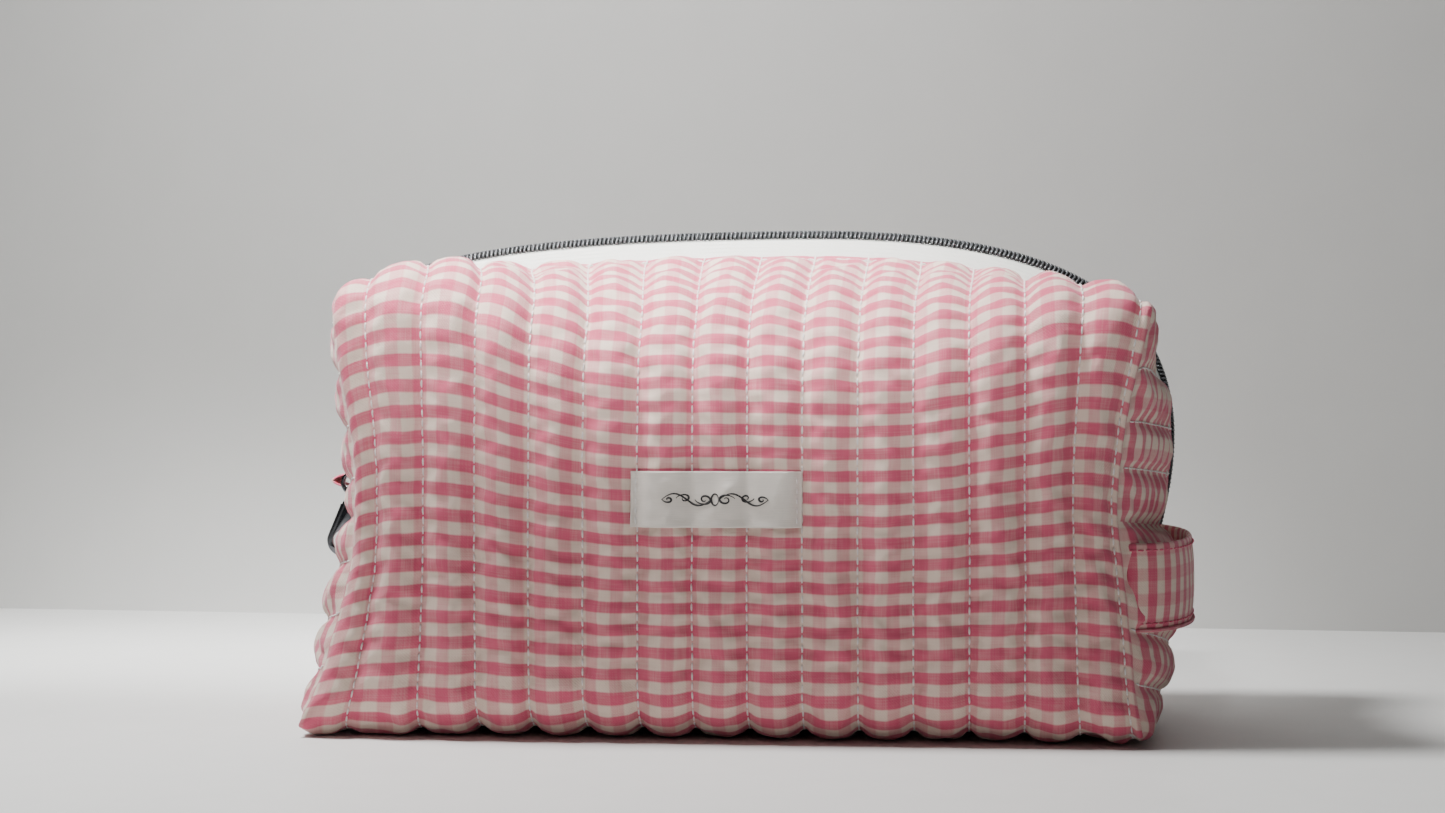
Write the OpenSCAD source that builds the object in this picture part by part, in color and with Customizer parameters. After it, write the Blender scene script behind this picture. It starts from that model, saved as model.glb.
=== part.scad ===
// Quilted box pouch: padded walls, a zip over the top and half way down both ends,
// and a carry strap on the right end.
// X runs along the length (strap end +X, slider end -X), the front panel faces -Y, +Z is up.
// The origin is on the surface that the pouch stands on, under the middle of the body.

/* [Body] */
// Length over the two padded ends
bag_length = 262; // [200:1:330]
// Depth from the front panel to the back panel
bag_depth = 124; // [100:1:160]
// Height of the centres of the shoulder rounding
shoulder_height = 95; // [76:1:120]
// Radius of the rounding at the top of the front and back panels
shoulder_radius = 52; // [30:1:60]
// Angle that a shoulder turns through before the flat mouth strip starts
shoulder_turn = 64; // [55:1:72]
// Radius of the rounding at the foot of the front and back panels
base_radius = 18; // [12:1:50]

/* [Quilted wall] */
// Thickness of the outer gingham cloth
cover_thickness = 0.8; // [0.5:0.1:1.2]
// Thickness of the wadding
wadding_thickness = 6; // [4:0.5:9]
// Thickness of the lining cloth
lining_thickness = 0.6; // [0.4:0.1:1.2]
// Width of the tapes that bind the four upright seams inside
binding_width = 8; // [5:0.5:12]
// Thickness of the seam bindings
binding_thickness = 1.2; // [0.6:0.1:2]

/* [Mouth] */
// Gap between a mouth strip and the panel or end next to it
mouth_gap = 0.4; // [0.3:0.05:1]

/* [Zip] */
// Thickness of the zip tape
tape_thickness = 0.6; // [0.4:0.1:1]
// Distance from the middle of the zip to the panel edges
seam_reach = 9; // [7.5:0.5:14]
// Distance from the middle of the zip to the hidden edges of the tape
tape_reach = 13; // [11:0.5:16]
// Width of one half of the coil
coil_width = 2.8; // [2:0.1:4]
// Thickness of the coil
coil_thickness = 2.4; // [1.6:0.1:3.2]
// Gap between the two halves of the coil
coil_gap = 1.2; // [1.2:0.1:2]
// Height at which the zip ends on both ends of the bag
zip_end_height = 64; // [50:1:70]

/* [Slider and pull] */
// Height of the middle of the slider
slider_height = 76.4; // [76:0.2:90]
// Length of the slider along the zip
slider_length = 11; // [9:0.5:14]
// Thickness of the slider's two plates
slider_plate = 1.4; // [1:0.1:2]
// Running clearance between the slider and the coil or tape
slider_clearance = 0.3; // [0.2:0.05:0.5]
// Width of the side walls that hold the coil inside the slider
slider_wall = 1.1; // [0.8:0.1:2]
// Inner radius of the slider's arched crown
crown_bore = 3; // [2.6:0.1:3.6]
// Thickness of the crown's arch
crown_thickness = 1.2; // [0.9:0.1:2]
// Width of the crown across the zip
crown_width = 2.4; // [1.6:0.1:3.4]
// Radius of the link's wire
wire_radius = 0.5; // [0.4:0.05:0.7]
// Clearance between the link's wire and the pieces that it runs through
wire_clearance = 0.3; // [0.2:0.05:0.4]
// Distance between the link's two cross bars
link_length = 6; // [5.6:0.1:8]
// Length of the pull from its eye to the middle of its finger hole
pull_reach = 12; // [10:0.5:24]
// Radius of the pull's wide round end
pull_end_radius = 5.2; // [4.6:0.1:8]
// Radius of the pull's finger hole
pull_hole_radius = 3.3; // [2.5:0.1:3.8]
// Width of the pull at its eye
pull_head_width = 5.2; // [4:0.1:7]
// Thickness of the pull
pull_thickness = 1.6; // [1.2:0.1:2.2]
// Angle at which the pull leans out where it rests on the padded end
pull_lean = 9; // [8:1:15]

/* [End tab] */
// How far the folded tab stands out of the left end
tab_length = 12; // [8:0.5:20]
// Width of the folded tab
tab_width = 14; // [10:0.5:20]
// Gap between the tab and the slider beside it or the end behind it
tab_clearance = 0.8; // [0.6:0.1:2]
// Height of the middle of the tab
tab_height = 77; // [72:0.5:90]
// Thickness of the folded tab where it is fullest
tab_thickness = 5; // [3:0.5:8]

/* [Strap] */
// Width of the carry strap
strap_width = 27; // [20:1:34]
// Thickness of the strap
strap_thickness = 3; // [2:0.5:4]
// Height of the lower edge of the strap
strap_height = 35; // [25:1:44]
// How far the strap stands off the padded end
strap_bulge = 11; // [9:0.5:20]
// Distance from each end of the strap to the nearer panel face
strap_inset = 6; // [4:0.5:15]

/* [Label] */
// Length of the satin label
label_length = 52; // [30:1:70]
// Height of the satin label
label_width = 17; // [10:0.5:25]
// Thickness of the label
label_thickness = 0.5; // [0.3:0.1:1]
// Height of the middle of the label
label_height = 74; // [55:1:85]
// Place of the middle of the label along the bag
label_offset = -6; // [-40:1:40]

/* [Hidden] */
$fn = 64;

arc_steps = 16;
reach = 400;

gingham = [0.93, 0.62, 0.70];
wadding_white = [0.96, 0.96, 0.94];
lining_white = [0.97, 0.95, 0.92];
tape_white = [0.92, 0.92, 0.92];
coil_grey = [0.45, 0.46, 0.48];
chrome = [0.30, 0.31, 0.33];
satin = [0.93, 0.90, 0.86];

end_face = bag_length / 2;
half_depth = bag_depth / 2;
wall = cover_thickness + wadding_thickness + lining_thickness;
panel_end = end_face - wall;
mouth_end = panel_end - mouth_gap;
shoulder_r = min(shoulder_radius, half_depth - 4);
shoulder_y = half_depth - shoulder_r;
base_y = half_depth - base_radius;

// the mouth strips run straight from the hinge line to the ridge under the zip
hinge_line = [
    -shoulder_y - shoulder_r * cos(shoulder_turn),
    shoulder_height + shoulder_r * sin(shoulder_turn)
];
strip_length = -hinge_line[0] / sin(shoulder_turn);

coil_outer = coil_gap / 2 + coil_width;
coil_top = cover_thickness + tape_thickness - coil_thickness;
coil_bottom = cover_thickness + tape_thickness;

// points of an arc about a centre, from one angle to another
function arc(centre, radius, from, to) =
    [for (i = [0:arc_steps]) let (a = from + (to - from) * i / arc_steps)
        centre + radius * [cos(a), sin(a)]];
function reversed(points) = [for (i = [len(points) - 1:-1:0]) points[i]];
function mirrored(points) = [for (p = points) [-p[0], p[1]]];

// the front wall's line from the hinge down to the base, at a depth below the outer face
function front_line(depth) = concat(
    arc([-shoulder_y, shoulder_height], shoulder_r - depth, 180 - shoulder_turn, 180),
    arc([-base_y, base_radius], base_radius - depth, 180, 270)
);

// a point on the front mouth strip: along it from the hinge, and below its outer face
function strip_point(along, depth) = hinge_line
    + along * [sin(shoulder_turn), cos(shoulder_turn)]
    + depth * [cos(shoulder_turn), -sin(shoulder_turn)];

// the ridge where the two mouth strips meet, at a depth below their outer faces
function ridge(depth) = [
    0,
    hinge_line[1] + (strip_length * cos(shoulder_turn)
        - depth * (sin(shoulder_turn) + cos(shoulder_turn) / tan(shoulder_turn)))
];

function section(depth) = concat(
    front_line(depth), reversed(mirrored(front_line(depth))), [ridge(depth)]
);

// draws a side section, given in Y and Z, from one place along the bag to another
module along_bag(from, to)
    translate([from, 0, 0]) rotate([90, 0, 90]) linear_extrude(to - from) children();

// a layer of the front wall between two depths
module front_layer(top, bottom)
    along_bag(-panel_end, panel_end)
        polygon(concat(front_line(top), reversed(front_line(bottom))));

// a flat layer of the base between two heights
module base_layer(bottom, top)
    translate([-panel_end, -base_y, bottom])
        cube([2 * panel_end, 2 * base_y, top - bottom]);

// a rectangle on the front mouth strip
module strip_area(from, to, top, bottom)
    polygon([
        strip_point(from, top), strip_point(to, top),
        strip_point(to, bottom), strip_point(from, bottom)
    ]);

module strip_layer(from, to, top, bottom)
    along_bag(-mouth_end, mouth_end) strip_area(from, to, top, bottom);

// the section of an end at a depth, cut open for the zip
module end_section(depth, zip_reach)
    difference() {
        polygon(section(depth));
        translate([-zip_reach, zip_end_height]) square([2 * zip_reach, reach]);
    }

// the part of an end's section between two distances in front of the middle of the zip
module end_strip(depth, near, far)
    intersection() {
        polygon(section(depth));
        translate([-far, zip_end_height]) square([far - near, reach]);
    }

// keeps the front half of the zip clear of the middle
module front_of_gap()
    intersection() {
        children();
        translate([-reach - coil_gap / 2, -reach]) square([reach, 2 * reach]);
    }

module to_back() mirror([0, 1, 0]) children();
module to_left() mirror([1, 0, 0]) children();

// ---- quilted walls ----
module front_cover() color(gingham) front_layer(0, cover_thickness);
module back_cover() to_back() front_cover();
module base_cover() color(gingham) base_layer(0, cover_thickness);

// the end's cover also wraps the edge of its wadding
module right_end_cover()
    color(gingham) difference() {
        along_bag(panel_end, end_face) end_section(0, seam_reach);
        along_bag(panel_end - 1, end_face - cover_thickness) polygon(section(cover_thickness));
    }
module left_end_cover() to_left() right_end_cover();

module front_wadding()
    color(wadding_white) front_layer(cover_thickness, cover_thickness + wadding_thickness);
module back_wadding() to_back() front_wadding();
module base_wadding()
    color(wadding_white) base_layer(cover_thickness, cover_thickness + wadding_thickness);
module right_end_wadding()
    color(wadding_white) along_bag(panel_end + lining_thickness, end_face - cover_thickness)
        end_section(cover_thickness, tape_reach);
module left_end_wadding() to_left() right_end_wadding();

module front_lining() color(lining_white) front_layer(wall - lining_thickness, wall);
module back_lining() to_back() front_lining();
module base_lining() color(lining_white) base_layer(wall - lining_thickness, wall);

// the end's lining turns up beside the zip to meet the back of the tape
module right_end_lining()
    color(lining_white) union() {
        along_bag(panel_end, panel_end + lining_thickness)
            end_section(cover_thickness, tape_reach - lining_thickness);
        for (side = [0, 1])
            mirror([0, side, 0])
                along_bag(panel_end, end_face - cover_thickness - tape_thickness)
                    end_strip(wall, tape_reach - lining_thickness, tape_reach);
    }
module left_end_lining() to_left() right_end_lining();

module front_right_binding()
    color(lining_white)
        translate([panel_end - binding_width, -half_depth + wall, base_radius])
            cube([binding_width, binding_thickness, shoulder_height - base_radius]);
module front_left_binding() to_left() front_right_binding();
module back_right_binding() to_back() front_right_binding();
module back_left_binding() to_back() front_left_binding();

// ---- zip on the ends ----
module right_front_tape()
    color(tape_white) union() {
        along_bag(end_face - cover_thickness - tape_thickness, end_face - cover_thickness)
            end_strip(cover_thickness, coil_outer, tape_reach);
        along_bag(panel_end + lining_thickness, end_face - cover_thickness)
            strip_area(strip_length - seam_reach, strip_length - coil_outer,
                cover_thickness, cover_thickness + tape_thickness);
    }
module right_front_coil()
    color(coil_grey) union() {
        along_bag(end_face - coil_bottom, end_face - coil_top)
            end_strip(coil_top, coil_gap / 2, coil_outer);
        along_bag(panel_end, end_face - coil_top)
            front_of_gap()
                strip_area(strip_length - coil_outer, strip_length, coil_top, coil_bottom);
    }
module right_back_tape() to_back() right_front_tape();
module right_back_coil() to_back() right_front_coil();
module left_front_tape() to_left() right_front_tape();
module left_front_coil() to_left() right_front_coil();
module left_back_tape() to_back() left_front_tape();
module left_back_coil() to_back() left_front_coil();

// ---- mouth strips ----
module front_top_cover()
    color(gingham) strip_layer(mouth_gap, strip_length - seam_reach, 0, cover_thickness);
module front_top_wadding()
    color(wadding_white) strip_layer(mouth_gap, strip_length - tape_reach,
        cover_thickness, cover_thickness + wadding_thickness);
module front_top_lining()
    color(lining_white) along_bag(-mouth_end, mouth_end) union() {
        strip_area(mouth_gap, strip_length - tape_reach + lining_thickness,
            wall - lining_thickness, wall);
        strip_area(strip_length - tape_reach, strip_length - tape_reach + lining_thickness,
            cover_thickness + tape_thickness, wall);
    }
module front_top_tape()
    color(tape_white) strip_layer(strip_length - tape_reach, strip_length - coil_outer,
        cover_thickness, cover_thickness + tape_thickness);
module front_top_coil()
    color(coil_grey) along_bag(-mouth_end, mouth_end) front_of_gap()
        strip_area(strip_length - coil_outer, strip_length, coil_top, coil_bottom);
module back_top_cover() to_back() front_top_cover();
module back_top_wadding() to_back() front_top_wadding();
module back_top_lining() to_back() front_top_lining();
module back_top_tape() to_back() front_top_tape();
module back_top_coil() to_back() front_top_coil();

// ---- slider and pull, on the left end ----
slider_inside = -end_face + coil_bottom + slider_clearance;
slider_outside = -end_face + coil_top - slider_clearance;
slider_half = coil_outer + slider_clearance + slider_wall;
crown_x = slider_outside - slider_plate;
crown_inset = crown_bore - wire_radius - wire_clearance;
pivot_x = crown_x - crown_inset * cos(35);
pivot_z = slider_height - crown_inset * sin(35);
eye_z = pivot_z - link_length;
eye_radius = wire_radius + wire_clearance;
link_half = crown_width / 2 + wire_clearance + wire_radius;

// the coil and tape run through channels on both sides of a thin web
module slider_body()
    color(chrome) difference() {
        translate([crown_x, -slider_half, slider_height - slider_length / 2])
            cube([slider_inside + slider_plate - crown_x, 2 * slider_half, slider_length]);
        for (side = [0, 1]) mirror([0, side, 0]) {
            translate([slider_outside, coil_gap / 2 - slider_clearance, 0])
                cube([slider_inside - slider_outside,
                    coil_width + 2 * slider_clearance, 2 * slider_height]);
            translate([-end_face + cover_thickness - slider_clearance, coil_outer, 0])
                cube([slider_inside + end_face - cover_thickness + slider_clearance,
                    2 * slider_wall, 2 * slider_height]);
        }
    }

module slider_crown()
    color(chrome) translate([crown_x, 0, slider_height]) rotate([90, 0, 0])
        translate([0, 0, -crown_width / 2]) difference() {
            cylinder(r = crown_bore + crown_thickness, h = crown_width);
            translate([0, 0, -1]) cylinder(r = crown_bore, h = crown_width + 2);
            translate([0, -reach, -1]) cube([reach, 2 * reach, crown_width + 2]);
        }

// a wire ring with square corners: two cross bars and two legs
module pull_link()
    color(chrome) translate([pivot_x, 0, 0]) union() {
        for (z = [pivot_z, eye_z])
            translate([0, -link_half, z]) rotate([-90, 0, 0])
                cylinder(r = wire_radius, h = 2 * link_half, $fn = 32);
        for (y = [-link_half, link_half]) {
            translate([0, y, eye_z]) cylinder(r = wire_radius, h = link_length, $fn = 32);
            for (z = [pivot_z, eye_z]) translate([0, y, z]) sphere(r = wire_radius, $fn = 32);
        }
    }

module pull_tab()
    color(chrome) translate([pivot_x, 0, eye_z]) rotate([0, pull_lean, 0]) rotate([90, 0, 0])
        translate([0, 0, -pull_thickness / 2]) difference() {
            union() {
                hull() {
                    translate([0, -pull_reach, 0]) cylinder(r = pull_end_radius, h = pull_thickness);
                    translate([-pull_head_width / 2, -eye_radius - crown_thickness, 0])
                        cube([pull_head_width, crown_thickness, pull_thickness]);
                }
                translate([-pull_head_width / 2, -eye_radius - crown_thickness, 0])
                    cube([pull_head_width, eye_radius + crown_thickness, pull_thickness]);
                cylinder(r = eye_radius + crown_thickness, h = pull_thickness);
            }
            translate([0, 0, -1]) cylinder(r = eye_radius, h = pull_thickness + 2);
            translate([0, -pull_reach, -1]) cylinder(r = pull_hole_radius, h = pull_thickness + 2);
        }

// a doubled strip of cloth, pressed flat at the seam and full towards its fold
tab_front = slider_half + tab_clearance;
tab_root = end_face + tab_clearance;
module zip_end_tab()
    color(gingham) translate([0, tab_front + tab_width, 0]) rotate([90, 0, 0])
        linear_extrude(tab_width) polygon([
            [-tab_root, tab_height - 0.1 * tab_thickness],
            [-tab_root, tab_height + 0.1 * tab_thickness],
            [-tab_root - 0.5 * tab_length, tab_height + 0.5 * tab_thickness],
            [-tab_root - tab_length, tab_height],
            [-tab_root - 0.5 * tab_length, tab_height - 0.5 * tab_thickness]
        ]);

// ---- label and strap ----
module front_label()
    color(satin)
        translate([label_offset - label_length / 2, -half_depth - label_thickness,
            label_height - label_width / 2])
            cube([label_length, label_thickness, label_width]);

strap_half = half_depth - strap_inset;
strap_radius = (strap_half * strap_half + strap_bulge * strap_bulge) / (2 * strap_bulge);
module handle_strap()
    color(gingham) intersection() {
        translate([end_face + strap_bulge - strap_radius, 0, strap_height]) difference() {
            cylinder(r = strap_radius, h = strap_width, $fn = 180);
            translate([0, 0, -1])
                cylinder(r = strap_radius - strap_thickness, h = strap_width + 2, $fn = 180);
        }
        translate([end_face, -half_depth, 0]) cube([strap_bulge + 1, bag_depth, reach]);
    }

front_cover();
back_cover();
base_cover();
left_end_cover();
right_end_cover();
front_wadding();
back_wadding();
base_wadding();
left_end_wadding();
right_end_wadding();
front_lining();
back_lining();
base_lining();
left_end_lining();
right_end_lining();
front_left_binding();
front_right_binding();
back_left_binding();
back_right_binding();
left_front_tape();
left_back_tape();
right_front_tape();
right_back_tape();
left_front_coil();
left_back_coil();
right_front_coil();
right_back_coil();
front_label();
handle_strap();
front_top_cover();
front_top_wadding();
front_top_lining();
front_top_tape();
front_top_coil();
back_top_cover();
back_top_wadding();
back_top_lining();
back_top_tape();
back_top_coil();
slider_body();
slider_crown();
pull_link();
pull_tab();
zip_end_tab();
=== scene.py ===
"""A quilted gingham pouch with a zip over the top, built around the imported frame.

The padded walls are cloth that is sewn down along channels and blown up by a simulation.
The zip, the strap, the label and the stitches are made around those walls.
All sizes are in metres, in the frame's own axes: X along the pouch, -Y out of the front, Z up.
"""
import math

import bmesh
import bpy
import numpy as np
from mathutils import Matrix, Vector
from mathutils.bvhtree import BVHTree


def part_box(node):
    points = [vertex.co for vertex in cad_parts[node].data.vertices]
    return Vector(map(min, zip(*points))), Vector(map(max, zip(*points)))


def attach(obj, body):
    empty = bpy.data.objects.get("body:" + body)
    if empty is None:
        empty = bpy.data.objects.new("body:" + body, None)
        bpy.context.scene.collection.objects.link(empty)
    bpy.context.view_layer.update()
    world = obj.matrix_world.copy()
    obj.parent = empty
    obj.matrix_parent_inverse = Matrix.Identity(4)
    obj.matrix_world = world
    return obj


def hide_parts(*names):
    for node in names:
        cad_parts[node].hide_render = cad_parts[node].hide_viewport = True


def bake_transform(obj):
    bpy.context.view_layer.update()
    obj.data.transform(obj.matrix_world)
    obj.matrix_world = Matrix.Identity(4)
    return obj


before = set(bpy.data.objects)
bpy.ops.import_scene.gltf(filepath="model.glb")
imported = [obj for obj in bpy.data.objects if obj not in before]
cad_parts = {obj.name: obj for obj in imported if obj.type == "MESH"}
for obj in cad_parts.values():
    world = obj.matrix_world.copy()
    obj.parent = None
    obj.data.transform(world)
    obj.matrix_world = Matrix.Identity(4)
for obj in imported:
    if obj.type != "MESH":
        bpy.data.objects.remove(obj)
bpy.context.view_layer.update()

bl_info = {
    "name": "Quilted Pouch",
    "version": (1, 0, 0),
    "blender": (4, 5, 0),
    "location": "View3D > Sidebar > Pouch",
    "description": "Builds a quilted zip pouch of gingham cloth",
    "category": "Add Mesh",
}

# ---- places that the frame gives ----
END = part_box("right_end_cover")[1].x
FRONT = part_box("front_cover")[0].y
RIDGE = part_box("front_top_coil")[1].z
ZIP_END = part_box("right_front_coil")[0].z
LABEL_LOW, LABEL_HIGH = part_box("front_label")
STRAP_LOW, STRAP_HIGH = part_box("handle_strap")
TAB_LOW, TAB_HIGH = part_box("zip_end_tab")

# ---- how the walls are divided ----
FOLD = 0.1235  # half the length of the flat cloth between the two end folds
FIRST_LINE = -0.1139  # place of the first quilting line along the pouch
LINES = 15
END_DROP_UPPER = 0.0675  # length of cloth down an end, above and below its own seam
END_DROP_LOWER = 0.066
PUCKER_SPACING = 0.0066  # distance between the small creases beside a quilting line
SEWN_DEPTH = 0.0006  # how far the stitches draw the cloth in
SETTLE_FRAMES = 16  # frames that the blown-up cloth is given to settle
LEAST_HEIGHT = 0.0002  # the cloth's lowest points stay this far above the table
BINDING_SETBACK = 0.0085  # distance of a seam binding from its seam, along the pouch
BINDING_DEPTH = 0.0475  # distance of the seam bindings from the pouch's middle
STRAP_THICKNESS = 0.0028
STRAP_SETBACK = 0.0072  # distance of the strap's roots behind the front and back faces
CAMERA_PLACE = (0.0708, -0.809, 0.104)
CAMERA_AIM_X = -0.0042


class Divisions:
    """How many steps the cloth has along a channel, the roof, the front, the base and the ends."""

    def __init__(self, channel, roof, front, base, tuck, left, right, lip):
        self.channel = channel
        self.roof = roof
        self.front = front
        self.base = base
        self.tuck = tuck
        self.left = left
        self.right = right
        self.lip = lip
        self.rows = roof + front + base
        self.half = front // 2


FINE = Divisions(channel=8, roof=27, front=58, base=32, tuck=5, left=5, right=2, lip=2)
COARSE = Divisions(channel=3, roof=12, front=24, base=14, tuck=2, left=2, right=1, lip=1)


# ---- sizes and colours that a user would change ----
def length(name, description, default):
    return bpy.props.FloatProperty(
        name=name, description=description, default=default, unit="LENGTH", precision=5
    )


def number(name, description, default):
    return bpy.props.FloatProperty(name=name, description=description, default=default)


def colour(name, description, default):
    return bpy.props.FloatVectorProperty(
        name=name, description=description, default=default, size=3, subtype="COLOR", min=0, max=1
    )


class PouchSizes(bpy.types.PropertyGroup):
    """Sizes of the pouch's cloth and sewing."""

    channel_pitch: length("Channel pitch", "Distance between two quilting lines", 0.01673)
    puff: length("Puff", "How far the wadding lifts the cloth between two lines", 0.0027)
    pucker: length("Pucker", "Height of the small creases beside the quilting lines", 0.0004)
    cloth_growth: number("Cloth growth", "Share that the cloth is larger than its place", 0.05)
    pressure: number("Pressure", "Pressure of the wadding under the cloth", 2.0)
    most_move: length("Most movement", "Furthest that the simulation may move a point", 0.0026)
    check_across: length("Check across", "Repeat of the checks along the pouch", 0.00765)
    check_down: length("Check down", "Repeat of the checks down the front", 0.00677)
    yarn: length("Yarn", "Distance between two yarns of the cloth", 0.00042)
    stitch_pitch: length("Stitch pitch", "Distance between two quilting stitches", 0.003)
    stitch_length: length("Stitch length", "Visible length of a stitch", 0.0024)
    stitch_thickness: length("Stitch thickness", "Thickness of the sewing thread", 0.0006)
    coil_pitch: length("Coil pitch", "Distance between two teeth of the zip", 0.0014)
    coil_wire: length("Coil wire", "Thickness of the coil's wire", 0.00075)
    coil_width: length("Coil width", "Width of one half of the coil", 0.0028)
    coil_height: length("Coil height", "Height of the coil", 0.0022)
    tape_top: length("Tape on top", "Visible width of a zip tape along the top", 0.0125)
    tape_end: length("Tape on the ends", "Visible width of a zip tape on the ends", 0.0085)
    piping: length("Piping", "Thickness of the strap's piped edge", 0.0013)


class PouchColours(bpy.types.PropertyGroup):
    """Colours of the pouch's cloths, threads and metal."""

    cream: colour("Cream", "Light checks", (0.75, 0.61, 0.51))
    pink: colour("Pink", "Dark checks", (0.60, 0.092, 0.165))
    thread: colour("Thread", "Quilting thread", (0.85, 0.80, 0.78))
    tape: colour("Tape", "Zip tape", (0.72, 0.72, 0.67))
    coil: colour("Coil", "Teeth of the zip", (0.11, 0.115, 0.12))
    metal: colour("Metal", "Slider and pull", (0.20, 0.20, 0.215))
    satin: colour("Satin", "Label", (0.72, 0.66, 0.60))
    ink: colour("Ink", "Ornament on the label", (0.012, 0.011, 0.012))
    lining: colour("Lining", "Cloth inside the pouch", (0.80, 0.77, 0.73))
    wadding: colour("Wadding", "Filling of the walls", (0.88, 0.88, 0.86))
    table: colour("Table", "Surface that the pouch stands on", (0.79, 0.79, 0.77))
    wall: colour("Wall", "Surface behind the pouch", (0.50, 0.50, 0.485))


def sizes():
    return bpy.context.scene.pouch_sizes


def colours():
    return bpy.context.scene.pouch_colours


# ---- materials ----
class Signal:
    """A number that changes over a surface. Arithmetic on it adds Math nodes."""

    def __init__(self, tree, socket):
        self.tree = tree
        self.socket = socket

    def math(self, operation, *values):
        node = self.tree.nodes.new("ShaderNodeMath")
        node.operation = operation
        for slot, value in zip(node.inputs, values):
            if isinstance(value, Signal):
                self.tree.links.new(value.socket, slot)
            else:
                slot.default_value = value
        return Signal(self.tree, node.outputs[0])

    def wave(self, period):
        """Goes from 0 to 1 and back once a period."""
        return self.math("SINE", self * (2 * math.pi / period)) * 0.5 + 0.5

    def between(self, low, high):
        """0 at low, 1 at high and straight in between."""
        return self.math("MINIMUM", self.math("MAXIMUM", (self - low) / (high - low), 0.0), 1.0)


def arithmetic(operation, swapped):
    """A method that adds one Math node, with the signal first or, when swapped, last."""
    if swapped:
        return lambda signal, other: signal.math(operation, other, signal)
    return lambda signal, other: signal.math(operation, signal, other)


for sign, operation in (("add", "ADD"), ("sub", "SUBTRACT"), ("mul", "MULTIPLY"), ("truediv", "DIVIDE")):
    setattr(Signal, f"__{sign}__", arithmetic(operation, False))
    setattr(Signal, f"__r{sign}__", arithmetic(operation, True))


class Finish:
    """A material in the making: its nodes, and the shader that they feed."""

    def __init__(self, name, base, roughness, **sockets):
        self.material = bpy.data.materials.new(name)
        self.material.use_nodes = True
        self.material.diffuse_color = (*base, 1)
        self.tree = self.material.node_tree
        self.shader = self.tree.nodes["Principled BSDF"]
        self.set("Base Color", (*base, 1))
        self.set("Roughness", roughness)
        for socket, value in sockets.items():
            self.set(socket.replace("_", " "), value)

    def set(self, socket, value):
        self.shader.inputs[socket].default_value = value

    def node(self, kind, settings=None, inputs=None, output=0):
        """Adds one node: its settings first, then its sockets' values or links."""
        node = self.tree.nodes.new(kind)
        for name, value in (settings or {}).items():
            setattr(node, name, value)
        for key, value in (inputs or {}).items():
            if isinstance(value, Signal):
                self.tree.links.new(value.socket, node.inputs[key])
            else:
                node.inputs[key].default_value = value
        return Signal(self.tree, node.outputs[output])

    def feed(self, socket, value):
        self.tree.links.new(value.socket, self.shader.inputs[socket])

    def place(self):
        return self.node("ShaderNodeTexCoord", output="Object")

    def cloth_place(self):
        """The piece's own cloth coordinates: along and down, in metres."""
        split = self.node("ShaderNodeUVMap", {"uv_map": "cloth"})
        along = self.node("ShaderNodeSeparateXYZ", inputs={0: split}, output="X")
        down = self.node("ShaderNodeSeparateXYZ", inputs={0: split}, output="Y")
        return split, along, down

    def noise(self, place, scale, detail=3.0, rough=0.55):
        return self.node(
            "ShaderNodeTexNoise",
            inputs={"Vector": place, "Scale": scale, "Detail": detail, "Roughness": rough},
            output="Fac",
        )

    def stretched(self, place, scale):
        return self.node("ShaderNodeVectorMath", {"operation": "MULTIPLY"}, {0: place, 1: scale})

    def mix(self, factor, first, second):
        """Goes from the first colour to the second."""
        return self.node(
            "ShaderNodeMix",
            {"data_type": "RGBA"},
            {0: factor, 6: with_alpha(first), 7: with_alpha(second)},
            output=2,
        )

    def bump(self, height, distance, strength=1.0, under=None):
        inputs = {"Height": height, "Distance": distance, "Strength": strength}
        if under is not None:
            inputs["Normal"] = under
        return self.node("ShaderNodeBump", inputs=inputs)


def with_alpha(value):
    return value if isinstance(value, Signal) else (*value, 1)


def shade(base, factor):
    """A colour made lighter or darker."""
    return tuple(min(1.0, channel * factor) for channel in base)


def weave(along, down, yarn):
    """Height of a plain weave, from 0 to 1."""
    difference = along.wave(yarn * 2) - down.wave(yarn * 2)
    return difference.math("ABSOLUTE", difference)


def gingham_finish(name="gingham"):
    size, tint = sizes(), colours()
    finish = Finish(name, tint.pink, 0.85, Sheen_Weight=0.25, Sheen_Roughness=0.5)
    cloth, along, down = finish.cloth_place()
    wander = (finish.noise(cloth, 55.0) - 0.5) * 0.0009
    across = ((along + wander).wave(size.check_across) - 0.5) * 4.5 + 0.5
    bands = ((down + wander).wave(size.check_down) - 0.5) * 4.5 + 0.55
    across = across.between(0.0, 1.0)
    bands = bands.between(0.0, 1.0)
    warp_yarns = finish.noise(finish.stretched(cloth, (2600.0, 90.0, 1.0)), 1.0, 2.0)
    weft_yarns = finish.noise(finish.stretched(cloth, (90.0, 2600.0, 1.0)), 1.0, 2.0)
    amount = bands * 0.85 + across * 0.42 - across * bands * 0.27
    amount = amount + (warp_yarns - 0.5) * 0.36 + (weft_yarns - 0.5) * 0.36
    base = finish.mix(amount.between(0.0, 1.0), tint.cream, tint.pink)
    soil = finish.noise(finish.place(), 24.0).between(0.25, 0.75)
    base = finish.mix(soil * 0.10, base, shade(tint.pink, 0.55))
    finish.feed("Base Color", base)
    finish.feed("Roughness", (warp_yarns + weft_yarns) * 0.15 + 0.72)
    threads = weave(along, down, size.yarn)
    fuzz = finish.noise(cloth, 900.0)
    soft = finish.bump(fuzz, 0.0004, 0.5)
    finish.feed("Normal", finish.bump(threads, 0.00008, 0.6, soft))
    return finish.material


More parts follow.
